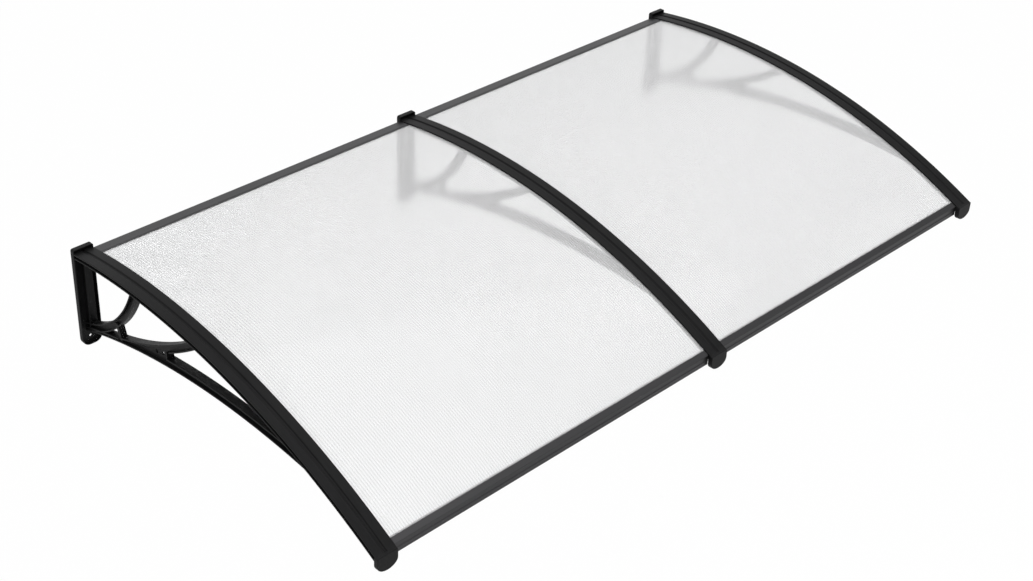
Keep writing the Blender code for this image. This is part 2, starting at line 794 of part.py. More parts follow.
def place_screws(mesh, look, bar_name, bay_centre, angle):
    """A screw under each end of one bar."""
    seat, square = screw_seat(angle)
    seat -= square * GAP
    for side, end in ((-1, "left"), (1, "right")):
        x = bay_centre + side * (BAY_PITCH / 2 - SCREW_ACROSS)
        place(f"screw_{bar_name}_{end}", mesh, look, (x, seat.y, seat.z), angle)


def main():
    for thing in list(bpy.data.objects):
        bpy.data.objects.remove(thing)

    black = material("black_moulding", (0.022, 0.022, 0.023), 0.42, 0.0)
    cloudy = material("clear_white_sheet", (0.90, 0.91, 0.92), 0.30, 0.0)
    dark_metal = material("dark_aluminium", (0.115, 0.113, 0.118), 0.38, 0.85)
    steel = material("steel", (0.55, 0.55, 0.56), 0.35, 1.0)

    bracket = smooth(bracket_mesh())
    side_names = ("left", "middle", "right")
    for i, side in enumerate(side_names[:BAYS + 1]):
        place(f"bracket_{side}", bracket, black, ((i - BAYS / 2) * BAY_PITCH, 0.0, 0.0))

    sheet = smooth(sheet_mesh())
    rear_bar = smooth(bar_mesh(rear_bar_outline(), REAR_SCREW_ANGLE))
    front_bar = smooth(bar_mesh(front_bar_outline(), FRONT_SCREW_ANGLE))
    screw = smooth(screw_mesh())
    for i, side in enumerate(("left", "right")[:BAYS]):
        centre = (i - (BAYS - 1) / 2) * BAY_PITCH
        place(f"roof_sheet_{side}", sheet, cloudy, (centre, 0.0, 0.0))
        place(f"rear_bar_{side}", rear_bar, dark_metal, (centre, 0.0, 0.0))
        place(f"front_bar_{side}", front_bar, dark_metal, (centre, 0.0, 0.0))
        place_screws(screw, steel, f"rear_{side}", centre, REAR_SCREW_ANGLE)
        place_screws(screw, steel, f"front_{side}", centre, FRONT_SCREW_ANGLE)


if __name__ == "__main__":
    main()
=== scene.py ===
"""Finished look of a two-bay door awning, with one operator for each kind of piece."""
from math import asin, atan, cos, hypot, pi, radians, sin, sqrt

import bmesh
import bpy
from bpy.props import FloatProperty, FloatVectorProperty, IntProperty, PointerProperty
from mathutils import Matrix, Vector


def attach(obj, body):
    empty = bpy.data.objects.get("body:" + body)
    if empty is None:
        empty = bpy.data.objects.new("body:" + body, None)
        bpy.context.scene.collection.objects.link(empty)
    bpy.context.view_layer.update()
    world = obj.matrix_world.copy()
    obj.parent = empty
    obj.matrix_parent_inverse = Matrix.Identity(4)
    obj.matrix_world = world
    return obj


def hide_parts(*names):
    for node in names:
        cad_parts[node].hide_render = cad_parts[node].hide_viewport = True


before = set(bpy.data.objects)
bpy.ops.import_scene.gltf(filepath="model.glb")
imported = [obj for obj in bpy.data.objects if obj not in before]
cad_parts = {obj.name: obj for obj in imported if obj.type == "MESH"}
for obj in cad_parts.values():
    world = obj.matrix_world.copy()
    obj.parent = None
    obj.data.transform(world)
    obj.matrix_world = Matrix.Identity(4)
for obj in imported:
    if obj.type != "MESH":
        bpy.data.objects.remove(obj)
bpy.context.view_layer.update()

bl_info = {
    "name": "Door awning",
    "version": (1, 0, 0),
    "blender": (4, 5, 0),
    "location": "3D View > Sidebar > Awning",
    "description": "Builds the brackets, roof sheets, bars and screws of a two-bay door awning",
    "category": "Add Mesh",
}

BODY = "root"

# Wall plate
PLATE_WALL = 0.003
PLATE_FLOOR = 0.003
PLATE_FOOT_RADIUS = 0.020
PLATE_TOP_RADIUS = 0.005
PLATE_FILLET = 0.0012
PLATE_BACK_EDGE = PLATE_FILLET / 3
WALL_HOLE = 0.007
WALL_HOLE_RISE = 0.018

# Curved rail. The floor of its groove is a share of the groove's width
RAIL_CREST_REACH = 0.2075
RAIL_DROP_AT_WALL = 0.0105
RAIL_WEB = 0.005
TOP_FLANGE = 0.0036
LOWER_FLANGE = 0.0032
GROOVE_DEPTH = 0.0029
GROOVE_FLOOR = 0.55

# Nose plate
NOSE_WIDTH = 0.052
NOSE_THICKNESS = 0.0115
NOSE_DEPTH = 0.0385
NOSE_RISE = 0.0025
NOSE_CORNER = 0.004
NOSE_CHIN = 0.018
NOSE_EDGE = 0.0012

# Braces. They are trimmed along the rail between two angles, past both of its ends
BRACE_DEPTH = 0.020
BRACE_FLANGE = 0.0035
STRUT_WIDTH = 0.021
STRUT_WEB = 0.0044
ARC_WIDTH = 0.020
ARC_WEB = 0.004
FLANGE_RUN_OUT = 0.008
FLANGE_BEAD = 0.0005
FILL_WEB = 0.0036
FORK_WALL_WIDTH = 0.019
SPINE_WIDTH = 0.019
SPINE_WEB = 0.005
SPINE_REACH = 0.024
STRUT_FOOT_RISE = 0.0355
STRUT_HEEL_DEPTH = 0.010
STRUT_CREST_REACH = 0.580
STRUT_CREST_RISE = 0.0885
STRUT_FORK_REACH = 0.335
FIRST_ARC_FOOT_RISE = 0.058
FIRST_ARC_REACH = 0.213
FIRST_ARC_RADIUS = 0.310
LINK_REACH = 0.144
LINK_LEAN = 0.014
LINK_WIDTH = 0.016
LINK_DEPTH = 0.011
SECOND_ARC_REACH = 0.441
SECOND_ARC_RADIUS = 0.980
WEB_HOLE = 0.009
WEB_HOLE_REACH = 0.286
WEB_HOLE_SPACING = 0.023
TRIM_START = -0.2
TRIM_END = 0.6

# Edge bars
REAR_BAR_WIDTH = 0.036
REAR_BAR_LIP = 0.006
REAR_BAR_LIP_DROP = 0.0007
REAR_BAR_LEG = 0.029
FRONT_BAR_COVER = 0.0127
FRONT_BAR_LEG = 0.018
FRONT_BAR_HEIGHT = 0.0235
FRONT_BAR_RETURN = 0.008
FRONT_BAR_BEAD = 0.0012
FRONT_BAR_BEAD_DROP = 0.0125
BAR_EDGE = 0.0004
TONGUE_WALL = 0.0012
TONGUE_SKIN = 0.00005
TONGUE_LENGTH = 0.016
TONGUE_MARGIN = 0.003

# Screws. Tip, foot and rim are shares of the shank's radius, of the head's radius and of the
# head's height, and the dome is the power that rounds it
SCREW_SHANK = 0.003
SCREW_HEAD_HEIGHT = 0.002
SCREW_INSET = 0.008
SCREW_SIDES = 24
SCREW_TIP = 0.7
SCREW_FOOT = 0.97
SCREW_RIM = 0.25
SCREW_DOME = 0.6
SCREW_DOME_STEPS = 6
RECESS_ARM = 0.0036
RECESS_WIDTH = 0.0008
RECESS_DEPTH = 0.0009
RECESS_TAPER = 0.7
RECESS_OVERLAP = 1.02

# Clearances, welding distances and fineness. A rounded corner takes at most a share of an edge
SHEET_EDGE_ROOM = 0.004
GAP = 0.0003
SEAM_WELD = GAP / 100
CELL_WELD = GAP / 10
EMBED = PLATE_FLOOR / 2
CORNER_SHARE = 0.4
CORNER_PARTS = 3
PLATE_CORNER_STEPS = 10
HOLE_SIDES = 32
TONGUE_HOLE_SIDES = 16
SMOOTH_ANGLE = radians(38)

# Camera, from the lines of the photograph
CAMERA_AZIMUTH = radians(-39.195)
CAMERA_ELEVATION = radians(28.835)
CAMERA_ROLL = radians(-1.483)
CAMERA_PLACE = (-2.52818, -2.78363, 2.00685)
CAMERA_FOCUS = 57.202
CAMERA_SENSOR = 36.0
CAMERA_SHIFT = (0.18258, -0.10736)

# Brightness of the even light that the studio throws on matt surfaces
SOFT_LIGHT = 0.88

# Side of the studio that polished surfaces see dark, as the photograph's front bar does: its
# direction, where the dark begins and where it is full, and the light that is left there
DARK_SIDE = (0.8, -0.6, 0.0)
DARK_FROM = 0.52
DARK_FULL = 0.72
DARK_LEFT = 0.35

# Floor: its size, the share of pure white that the camera sees on it, and its darker tone
FLOOR_RADIUS = 40.0
FLOOR_SIDES = 96
FLOOR_WHITE = 0.97
FLOOR_TONE = 0.98
WHITE = (1.0, 1.0, 1.0, 1.0)

# Lamps, all turned to one point: name, place, size and watts
LAMP_TARGET = (0.0, -0.5, 0.0)
LAMPS = (
    ("key_lamp", (-2.6, -3.4, 3.6), 3.4, 48.0),
    ("top_lamp", (0.5, -1.1, 3.4), 4.0, 38.0),
    ("side_lamp", (3.8, -2.6, 1.8), 2.4, 12.0),
)


def length(name, default, description):
    """A size in metres for the panel."""
    return FloatProperty(
        name=name, description=description, default=default, min=0.0, precision=5, unit="LENGTH"
    )


def colour(name, default, description):
    """A colour for the panel."""
    return FloatVectorProperty(
        name=name, description=description, default=default, size=3, min=0.0, max=1.0,
        subtype="COLOR",
    )


def share(name, default, description):
    """A number from 0 to 1 for the panel."""
    return FloatProperty(
        name=name, description=description, default=default, min=0.0, max=1.0, subtype="FACTOR"
    )


def whole(name, default, low, high, description):
    """A whole number for the panel."""
    return IntProperty(name=name, description=description, default=default, min=low, max=high)


class AwningSizes(bpy.types.PropertyGroup):
    """Main sizes of the awning"""

    bay_pitch: length("Bay pitch", 0.975, "Distance between the middles of two brackets")
    projection: length("Projection", 1.028, "How far the awning reaches out from the wall")
    rail_radius: length("Rail radius", 1.6657, "Radius of the rail's top face")
    rail_width: length("Rail width", 0.051, "Width of the rail's flanges")
    rail_edge: length("Rail edge", 0.0009, "Rounding of the rail's corners")
    groove_width: length("Groove width", 0.009, "Width of the groove along the rail's top")
    brace_edge: length("Brace edge", 0.0007, "Rounding of the corners of the braces")
    plate_width: length("Plate width", 0.053, "Width of the wall plate")
    plate_height: length("Plate height", 0.258, "Height of the wall plate")
    plate_depth: length("Plate depth", 0.0125, "Depth of the wall plate")
    sheet_thickness: length("Sheet thickness", 0.0045, "Thickness of the twin-wall sheet")
    sheet_skin: length("Sheet skin", 0.0006, "Thickness of each of the sheet's two walls")
    sheet_rib: length("Sheet rib", 0.0005, "Thickness of the ribs between the sheet's walls")
    bar_wall: length("Bar wall", 0.0013, "Wall thickness of the edge bars")
    screw_head: length("Screw head", 0.0065, "Width of the screw heads")
    floor_drop: length("Floor drop", 2.2, "Depth of the floor under the middle of the wall plates")
    cells: whole("Cells", 146, 2, 600, "Number of cells across one roof sheet")
    rail_steps: whole("Rail steps", 72, 8, 400, "Stations along the rail")
    brace_steps: whole("Brace steps", 28, 4, 200, "Stations along each brace")
    sheet_steps: whole("Sheet steps", 28, 4, 200, "Stations along each roof sheet")


class AwningLooks(bpy.types.PropertyGroup):
    """Colours and finish of the awning"""

    moulding: colour("Moulding", (0.0016, 0.0016, 0.0017), "Colour of the black moulded plastic")
    moulding_worn: colour("Moulding, pale", (0.0135, 0.0135, 0.0140), "Paler tone in the plastic")
    sheet: colour("Sheet", (0.997, 0.997, 0.999), "Colour of the translucent roof sheet")
    sheet_cool: colour("Sheet, cool", (0.988, 0.990, 0.993), "Cooler tone in the roof sheet")
    bar: colour("Bar", (0.070, 0.069, 0.072), "Colour of the dark anodised bars")
    bar_dark: colour("Bar, dark", (0.040, 0.040, 0.041), "Darker tone of the lines on the bars")
    screw: colour("Screw", (0.55, 0.55, 0.56), "Colour of the steel screws")
    screw_dull: colour("Screw, dull", (0.38, 0.375, 0.37), "Duller tone on the steel screws")
    floor: colour("Floor", (0.86, 0.86, 0.86), "Colour of the floor")
    sheet_clearness: share("Clearness", 0.82, "How much of the light the roof sheet lets through")
    sheet_haze: share("Haze", 0.115, "How much the roof sheet blurs what is behind it")


class Value:
    """A number in a node tree: sums and products of values add their Math nodes."""

    def __init__(self, graph, socket):
        self.graph = graph
        self.socket = socket

    def joined(self, operation, first, second):
        return self.graph.number("ShaderNodeMath", {"operation": operation}, {0: first, 1: second})

    def __add__(self, other):
        return self.joined("ADD", self, other)

    def __radd__(self, other):
        return self.joined("ADD", other, self)

    def __sub__(self, other):
        return self.joined("SUBTRACT", self, other)

    def __rsub__(self, other):
        return self.joined("SUBTRACT", other, self)

    def __mul__(self, other):
        return self.joined("MULTIPLY", self, other)

    def __rmul__(self, other):
        return self.joined("MULTIPLY", other, self)

    def larger(self, other):
        return self.joined("MAXIMUM", self, other)


class Graph:
    """A node tree, and the one way in which nodes are added to it."""

    def __init__(self, tree):
        self.tree = tree

    def add(self, kind, settings=None, inputs=None):
        """Add a node: its settings come first, then the values or links of its sockets."""
        node = self.tree.nodes.new(kind)
        for name, value in (settings or {}).items():
            setattr(node, name, value)
        for name, value in (inputs or {}).items():
            self.feed(node.inputs[name], value)
        return node

    def feed(self, socket, value):
        if isinstance(value, Value):
            value = value.socket
        if isinstance(value, bpy.types.NodeSocket):
            self.tree.links.new(value, socket)
        else:
            socket.default_value = value

    def number(self, kind, settings=None, inputs=None, output=0):
        return Value(self, self.add(kind, settings, inputs).outputs[output])

    def vector(self, parts):
        """Vector of the parts that are given, by axis number."""
        return self.add("ShaderNodeCombineXYZ", None, parts).outputs["Vector"]

    def real(self, geometry):
        """Real geometry in place of instances."""
        made = self.add("GeometryNodeRealizeInstances", None, {"Geometry": geometry})
        return made.outputs["Geometry"]

    def noise(self, place, scale, detail, stretch=(1.0, 1.0, 1.0)):
        """Noise from 0 to 1 on a place that may be stretched first."""
        moved = self.add("ShaderNodeMapping", None, {"Vector": place, "Scale": stretch})
        inputs = {"Vector": moved.outputs["Vector"], "Scale": scale, "Detail": detail}
        return self.number("ShaderNodeTexNoise", None, inputs)

    def mixed(self, factor, first, second):
        """One colour blended into another."""
        inputs = {"Factor": factor, "A": (*first, 1.0), "B": (*second, 1.0)}
        node = self.add("ShaderNodeMix", {"data_type": "RGBA"})
        for name, value in inputs.items():
            wanted = "VALUE" if name == "Factor" else "RGBA"
            self.feed(next(s for s in node.inputs if s.name == name and s.type == wanted), value)
        return next(s for s in node.outputs if s.type == "RGBA")

    def bump(self, height, strength, distance):
        inputs = {"Strength": strength, "Distance": distance, "Height": height}
        return self.add("ShaderNodeBump", None, inputs).outputs["Normal"]

    def dress(self, shader, colour, roughness, normal):
        """Link the three varied inputs of a finish's shader."""
        self.feed(shader.inputs["Base Color"], colour)
        self.feed(shader.inputs["Roughness"], roughness)
        self.feed(shader.inputs["Normal"], normal)


def new_finish(name, fixed):
    """A material with its shader's plain values set, and the place that its patterns follow."""
    made = bpy.data.materials.new(name)
    made.use_nodes = True
    graph = Graph(made.node_tree)
    shader = made.node_tree.nodes["Principled BSDF"]
    for socket, value in fixed.items():
        shader.inputs[socket].default_value = value
    place = graph.add("ShaderNodeTexCoord").outputs["Object"]
    return made, graph, shader, place


def black_plastic(looks):
    """Satin black moulded plastic: fine grain, soft clouds and faint flow lines along the arms."""
    fixed = {"IOR": 1.46, "Specular IOR Level": 0.11}
    made, graph, shader, place = new_finish("black_moulded_plastic", fixed)
    grain = graph.noise(place, scale=1500.0, detail=3.0)
    clouds = graph.noise(place, scale=14.0, detail=4.0)
    flow = graph.noise(place, scale=1.0, detail=3.0, stretch=(260.0, 7.0, 90.0))
    graph.dress(
        shader,
        graph.mixed(clouds * 0.4 + flow * 0.6, looks.moulding, looks.moulding_worn),
        0.30 + clouds * 0.12 + flow * 0.10 + grain * 0.05,
        graph.bump(grain * 0.8 + flow * 0.2, strength=0.16, distance=0.0002),
    )
    return made


def cloudy_sheet(looks):
    """Milky plastic that lets light through and blurs what lies behind it."""
    fixed = {"IOR": 1.27, "Transmission Weight": looks.sheet_clearness}
    made, graph, shader, place = new_finish("cloudy_twin_wall", fixed)
    clouds = graph.noise(place, scale=3.0, detail=3.0)
    drawn = graph.noise(place, scale=1.0, detail=2.0, stretch=(150.0, 1.5, 1.5))
    graph.dress(
        shader,
        graph.mixed(clouds * 0.5 + drawn * 0.5, looks.sheet, looks.sheet_cool),
        looks.sheet_haze - 0.03 + drawn * 0.06,
        graph.bump(drawn, strength=0.03, distance=0.0003),
    )
    return made


def brushed_dark_metal(looks):
    """Dark anodised metal with fine lines drawn along the bar."""
    made, graph, shader, place = new_finish("dark_anodised_metal", {"Metallic": 1.0})
    lines = graph.noise(place, scale=1.0, detail=3.0, stretch=(6.0, 1800.0, 1800.0))
    clouds = graph.noise(place, scale=5.0, detail=3.0)
    graph.dress(
        shader,
        graph.mixed(lines * 0.6 + clouds * 0.4, looks.bar, looks.bar_dark),
        0.30 + lines * 0.14 + clouds * 0.06,
        graph.bump(lines, strength=0.12, distance=0.0001),
    )
    return made


def plain_steel(looks):
    """Plain steel of the small screws, a little dull in patches."""
    made, graph, shader, place = new_finish("plain_steel", {"Metallic": 1.0})
    patches = graph.noise(place, scale=420.0, detail=4.0)
    fine = graph.noise(place, scale=3200.0, detail=2.0)
    graph.dress(
        shader,
        graph.mixed(patches, looks.screw, looks.screw_dull),
        0.28 + patches * 0.22,
        graph.bump(fine, strength=0.10, distance=0.0001),
    )
    return made


def finish_called(name, maker):
    """The finish of that name, made the first time it is asked for."""
    return bpy.data.materials.get(name) or maker(bpy.context.scene.awning_looks)


class Arc:
    """A circle in the side view. Crest is +1 where it humps up and -1 where it sags."""

    def __init__(self, reach, height, radius, crest):
        self.reach = reach
        self.height = height
        self.radius = radius
        self.crest = crest

    def angle_at(self, reach, radius=None):
        return asin((reach - self.reach) / (radius or self.radius))

    def point(self, angle, radius=None):
        radius = radius or self.radius
        return self.reach + radius * sin(angle), self.height + self.crest * radius * cos(angle)

    def height_at(self, reach, radius=None):
        radius = radius or self.radius
        return self.height + self.crest * sqrt(radius ** 2 - (reach - self.reach) ** 2)


def sagging_arc(start, end, radius):
    """The arc of a given radius that sags between two points of the side view."""
    along = (end[0] - start[0], end[1] - start[1])
    chord = hypot(*along)
    middle = ((start[0] + end[0]) / 2, (start[1] + end[1]) / 2)
    back = sqrt(radius ** 2 - chord ** 2 / 4) / chord
    return Arc(middle[0] - back * along[1], middle[1] + back * along[0], radius, -1)


class SideView:
    """The curves and levels of one bracket, worked out from the sizes in the panel."""

    def __init__(self, sizes):
        self.sizes = sizes
        self.plate_top = sizes.plate_height / 2
        self.plate_foot = -sizes.plate_height / 2
        self.rail_half = sizes.rail_width / 2
        self.sheet_top = TOP_FLANGE + GAP
        self.sheet_under = self.sheet_top + sizes.sheet_thickness
        self.tongue_top = self.sheet_under + GAP
        self.tongue_under = self.tongue_top + TONGUE_WALL
        self.lower_flange = self.tongue_under + GAP
        self.rail_depth = self.lower_flange + LOWER_FLANGE
        fall = sqrt(sizes.rail_radius ** 2 - RAIL_CREST_REACH ** 2)
        self.rail = Arc(
            RAIL_CREST_REACH, self.plate_top - RAIL_DROP_AT_WALL - fall, sizes.rail_radius, 1
        )
        self.rail_under = sizes.rail_radius - self.rail_depth
        self.strut = self.strut_arc()
        self.first_arc = self.arc_to_rail(
            (0.0, self.plate_foot + FIRST_ARC_FOOT_RISE), FIRST_ARC_REACH, FIRST_ARC_RADIUS
        )
        self.second_start = LINK_REACH + LINK_DEPTH / 2
        foot = self.strut.height_at(self.second_start) + STRUT_HEEL_DEPTH + BRACE_FLANGE
        self.second_arc = self.arc_to_rail(
            (self.second_start, foot), SECOND_ARC_REACH, SECOND_ARC_RADIUS
        )
        widest = max(sizes.plate_width, sizes.rail_width, NOSE_WIDTH)
        half_bay = sizes.bay_pitch / 2
        self.bar_half = half_bay - widest / 2 - GAP
        self.tongue_half = half_bay - self.rail_half + TONGUE_LENGTH
        self.sheet_half = half_bay - RAIL_WEB / 2 - SHEET_EDGE_ROOM
        self.screw_across = self.rail_half - SCREW_INSET
        self.screw_along = half_bay - self.screw_across
        self.front_face = sizes.projection - NOSE_THICKNESS + GAP
        self.sheet_back = sizes.plate_depth + GAP
        self.sheet_front = self.front_face - sizes.bar_wall - GAP
        self.rear_back = self.sheet_back - GAP - sizes.bar_wall
        self.bar_top = self.sheet_top - GAP - sizes.bar_wall
        self.bar_roof = self.sheet_top - GAP
        self.rear_tongue = (
            self.sheet_back + TONGUE_MARGIN, self.sheet_back + REAR_BAR_LEG - TONGUE_MARGIN
        )
        self.front_tongue = (
            self.sheet_front - FRONT_BAR_LEG + TONGUE_MARGIN, self.sheet_front - TONGUE_MARGIN
        )
        tongue_radius = sizes.rail_radius - self.tongue_top
        self.rear_screw_angle = self.rail.angle_at(sum(self.rear_tongue) / 2, tongue_radius)
        self.front_screw_angle = self.rail.angle_at(sum(self.front_tongue) / 2, tongue_radius)

    def strut_arc(self):
        """Lower edge of the strut, from its foot on the wall plate to its crest."""
        rise = STRUT_CREST_RISE
        radius = (STRUT_CREST_REACH ** 2 + rise ** 2) / (2 * rise)
        crest_height = self.plate_foot + STRUT_FOOT_RISE + rise
        return Arc(STRUT_CREST_REACH, crest_height - radius, radius, 1)

    def arc_to_rail(self, start, reach, radius):
        """Arc from a point up to the rail's underside."""
        return sagging_arc(start, (reach, self.rail.height_at(reach, self.rail_under)), radius)

    def slope_at(self, angle, level, reach):
        """Point at a straight level under the rail's top, square to the rail at an angle."""
        start_reach, start_height = self.rail.point(angle)
        along = (reach - start_reach + level * sin(angle)) / cos(angle)
        return reach, start_height - level * cos(angle) - along * sin(angle)

    def sloped(self, angle, places):
        return [self.slope_at(angle, level, reach) for level, reach in places]

    def screw_seat(self, angle):
        """Point on the rail's underside at an angle, and the direction square to it."""
        reach, height = self.rail.point(angle, self.rail_under)
        return Vector((0.0, -reach, height)), Vector((0.0, -sin(angle), cos(angle)))


def blend(start, end, part):
    return start + (end - start) * min(1.0, max(0.0, part))


def steps(start, end, count):
    return [start + (end - start) * i / count for i in range(count + 1)]


def rounded(outline, radius):
    """Closed outline with a short curve in place of each corner."""
    done = []
    count = len(outline)
    for i, here in enumerate(outline):
        before = outline[i - 1]
        after = outline[(i + 1) % count]
        back = hypot(before[0] - here[0], before[1] - here[1])
        ahead = hypot(after[0] - here[0], after[1] - here[1])
        cut = min(radius, CORNER_SHARE * back, CORNER_SHARE * ahead)
        start = [h + (b - h) * cut / back for h, b in zip(here, before)]
        end = [h + (a - h) * cut / ahead for h, a in zip(here, after)]
        for t in steps(0.0, 1.0, CORNER_PARTS):
            done.append(tuple(
                (1 - t) ** 2 * s + 2 * t * (1 - t) * h + t * t * e
                for s, h, e in zip(start, here, end)
            ))
    return done


def linked(name, data):
    """A new object in the scene."""
    thing = bpy.data.objects.new(name, data)
    bpy.context.scene.collection.objects.link(thing)
    return thing


def hold(name, bm):
    """Turn a finished bmesh into a linked object with its faces pointing out."""
    bmesh.ops.recalc_face_normals(bm, faces=bm.faces)
    mesh = bpy.data.meshes.new(name)
    bm.to_mesh(mesh)
    bm.free()
    return linked(name, mesh)


def drop(thing):
    mesh = thing.data
    bpy.data.objects.remove(thing)
    if mesh.users == 0:
        bpy.data.meshes.remove(mesh)


def loft(name, rings):
    """Closed solid through a row of matching closed rings, capped at both ends."""
    bm = bmesh.new()
    rows = [[bm.verts.new(point) for point in ring] for ring in rings]
    count = len(rows[0])
    for row, following in zip(rows, rows[1:]):
        for i in range(count):
            j = (i + 1) % count
            bm.faces.new((row[i], row[j], following[j], following[i]))
    bm.faces.new(rows[0])
    bm.faces.new(rows[-1])
    return hold(name, bm)


def sweep(name, arc, angles, section):
    """Sweep a section of (across, radius) pairs, or a rule that gives one, along an arc."""
    rings = []
    for angle in angles:
        pairs = section(angle) if callable(section) else section
        places = [(across, arc.point(angle, radius)) for across, radius in pairs]
        rings.append([(across, -reach, height) for across, (reach, height) in places])
    return loft(name, rings)


def layered(name, view, outline, path):
    """Closed solid through the outlines that belong to a path's (inset, reach) pairs."""
    return loft(name, [
        [(across, -reach, height) for across, height in outline(view, inset)]
        for inset, reach in path
    ])


def boxed(left, right, low, high):
    """The corners of a rectangle."""
    return [(left, low), (right, low), (right, high), (left, high)]


def strip(half, low, high):
    """Rectangular section between two radii."""
    return boxed(-half, half, low, high)


def prism_along_x(name, outline, half):
    """Extrude an outline of (reach, height) to both sides of X = 0."""
    return loft(name, [[(x, -reach, height) for reach, height in outline] for x in (-half, half)])


def post(name, half, foot, top, edge):
    """Upright post with round corners between two (back reach, front reach, height) ends."""
    rings = []
    for back, front, height in (foot, top):
        ring = rounded(strip(half, back, front), edge)
        rings.append([(across, -reach, height) for across, reach in ring])
    return loft(name, rings)


def round_bar(name, centre, direction, radius, reach, sides=HOLE_SIDES):
    """Cylinder around a point, along a direction."""
    bm = bmesh.new()
    bmesh.ops.create_cone(
        bm, cap_ends=True, segments=sides, radius1=radius, radius2=radius, depth=reach
    )
    turn = Vector((0, 0, 1)).rotation_difference(Vector(direction)).to_matrix().to_4x4()
    bmesh.ops.transform(bm, matrix=turn, verts=bm.verts)
    bmesh.ops.translate(bm, vec=Vector(centre), verts=bm.verts)
    return hold(name, bm)


def settle(thing):
    """Replace an object's mesh by what its modifiers make of it, and take them off."""
    bpy.context.view_layer.update()
    shaped = thing.evaluated_get(bpy.context.evaluated_depsgraph_get())
    old = thing.data
    mesh = bpy.data.meshes.new_from_object(shaped)
    thing.modifiers.clear()
    thing.data = mesh
    bpy.data.meshes.remove(old)
    if not mesh.polygons:
        raise RuntimeError(f"{thing.name} came out empty")
    return thing


def combine(base, others, operation):
    """Join or cut one solid with all the others in one step and keep only the result."""
    group = bpy.data.collections.new("operands")
    for other in others:
        group.objects.link(other)
    modifier = base.modifiers.new(operation.title(), "BOOLEAN")
    modifier.operation = operation
    modifier.solver = "EXACT"
    modifier.operand_type = "COLLECTION"
    modifier.collection = group
    settle(base)
    for other in others:
        drop(other)
    bpy.data.collections.remove(group)
    return base


def geometry_tree(name, sockets):
    """The graph of a Geometry Nodes tree and its named inputs, with a material as the last one."""
    tree = bpy.data.node_groups.new(name, "GeometryNodeTree")
    for label, kind in {"Geometry": "Geometry", **sockets, "Material": "Material"}.items():
        tree.interface.new_socket(label, in_out="INPUT", socket_type=f"NodeSocket{kind}")
    tree.interface.new_socket("Geometry", in_out="OUTPUT", socket_type="NodeSocketGeometry")
    graph = Graph(tree)
    return graph, graph.add("NodeGroupInput").outputs


def finished_tree(graph, given, geometry):
    """End a Geometry Nodes tree: the geometry gets the given material and goes out."""
    inputs = {"Geometry": geometry, "Material": given["Material"]}
    coated = graph.add("GeometryNodeSetMaterial", None, inputs)
    graph.add("NodeGroupOutput", None, {"Geometry": coated.outputs["Geometry"]})
    return graph.tree


def run_tree(thing, tree, values):
    """Give an object a Geometry Nodes modifier with its inputs set, and settle the result."""
    modifier = thing.modifiers.new(tree.name, "NODES")
    modifier.node_group = tree
    for item in tree.interface.items_tree:
        if item.in_out == "INPUT" and item.name in values:
            modifier[item.identifier] = values[item.name]
    return settle(thing)


def rail_sweep_tree():
    """Sweeps the object's own closed outline along the rail's arc, from the wall to the nose."""
    arc = ("Radius", "Start Angle", "Sweep Angle")
    numbers = {label: "Float" for label in (*arc, "Crest Reach", "Centre Height")}
    graph, given = geometry_tree("sweep_outline_along_rail", {**numbers, "Stations": "Int"})
    path = graph.add("GeometryNodeCurveArc", None, {
        "Resolution": given["Stations"],
        **{label: given[label] for label in arc},
    })
    outline = graph.add("GeometryNodeMeshToCurve", None, {"Mesh": given["Geometry"]})
    swept = graph.add("GeometryNodeCurveToMesh", None, {
        "Curve": path.outputs["Curve"],
        "Profile Curve": outline.outputs["Curve"],
        "Fill Caps": True,
    })
    outward = Value(graph, given["Crest Reach"]) * -1.0
    stood = graph.add("GeometryNodeTransform", None, {
        "Geometry": swept.outputs["Mesh"],
        "Translation": graph.vector({1: outward, 2: given["Centre Height"]}),
        "Rotation": (pi / 2, 0.0, pi / 2),
    })
    return finished_tree(graph, given, graph.real(stood.outputs["Geometry"]))


def flute_tree():
    """Repeats one cell of the sheet side by side and welds the cells into one sheet."""
    numbers = {label: "Float" for label in ("Pitch", "First Cell", "Weld Distance")}
    graph, given = geometry_tree("repeat_flutes", {"Cells": "Int", **numbers})
    row = graph.add("GeometryNodeMeshLine", None, {
        "Count": given["Cells"],
        "Start Location": graph.vector({0: given["First Cell"]}),
        "Offset": graph.vector({0: given["Pitch"]}),
    })
    cells = graph.add("GeometryNodeInstanceOnPoints", None, {
        "Points": row.outputs["Mesh"],
        "Instance": given["Geometry"],
    })
    welded = graph.add("GeometryNodeMergeByDistance", None, {
        "Geometry": graph.real(cells.outputs["Instances"]),
        "Distance": given["Weld Distance"],
    })
    return finished_tree(graph, given, welded.outputs["Geometry"])


def screw_tree():
    """Sets a screw on each point of the object, turned by the point's own slope."""
    graph, given = geometry_tree("screws_on_seats", {"Screw": "Object"})
    blank = graph.add("GeometryNodeObjectInfo", None, {"Object": given["Screw"]})
    slope = graph.add("GeometryNodeInputNamedAttribute", {"data_type": "FLOAT"}, {"Name": "slope"})
    placed = graph.add("GeometryNodeInstanceOnPoints", None, {
        "Points": given["Geometry"],
        "Instance": blank.outputs["Geometry"],
        "Rotation": graph.vector({0: slope.outputs["Attribute"]}),
    })
    return finished_tree(graph, given, graph.real(placed.outputs["Instances"]))


def smooth(thing):
    """Smooth shading that keeps the corners sharp and the flat faces flat."""
    thing.data.shade_smooth()
    thing.data.set_sharp_from_angle(angle=SMOOTH_ANGLE)
    weighted = thing.modifiers.new("Weighted normals", "WEIGHTED_NORMAL")
    weighted.keep_sharp = True
    return settle(thing)


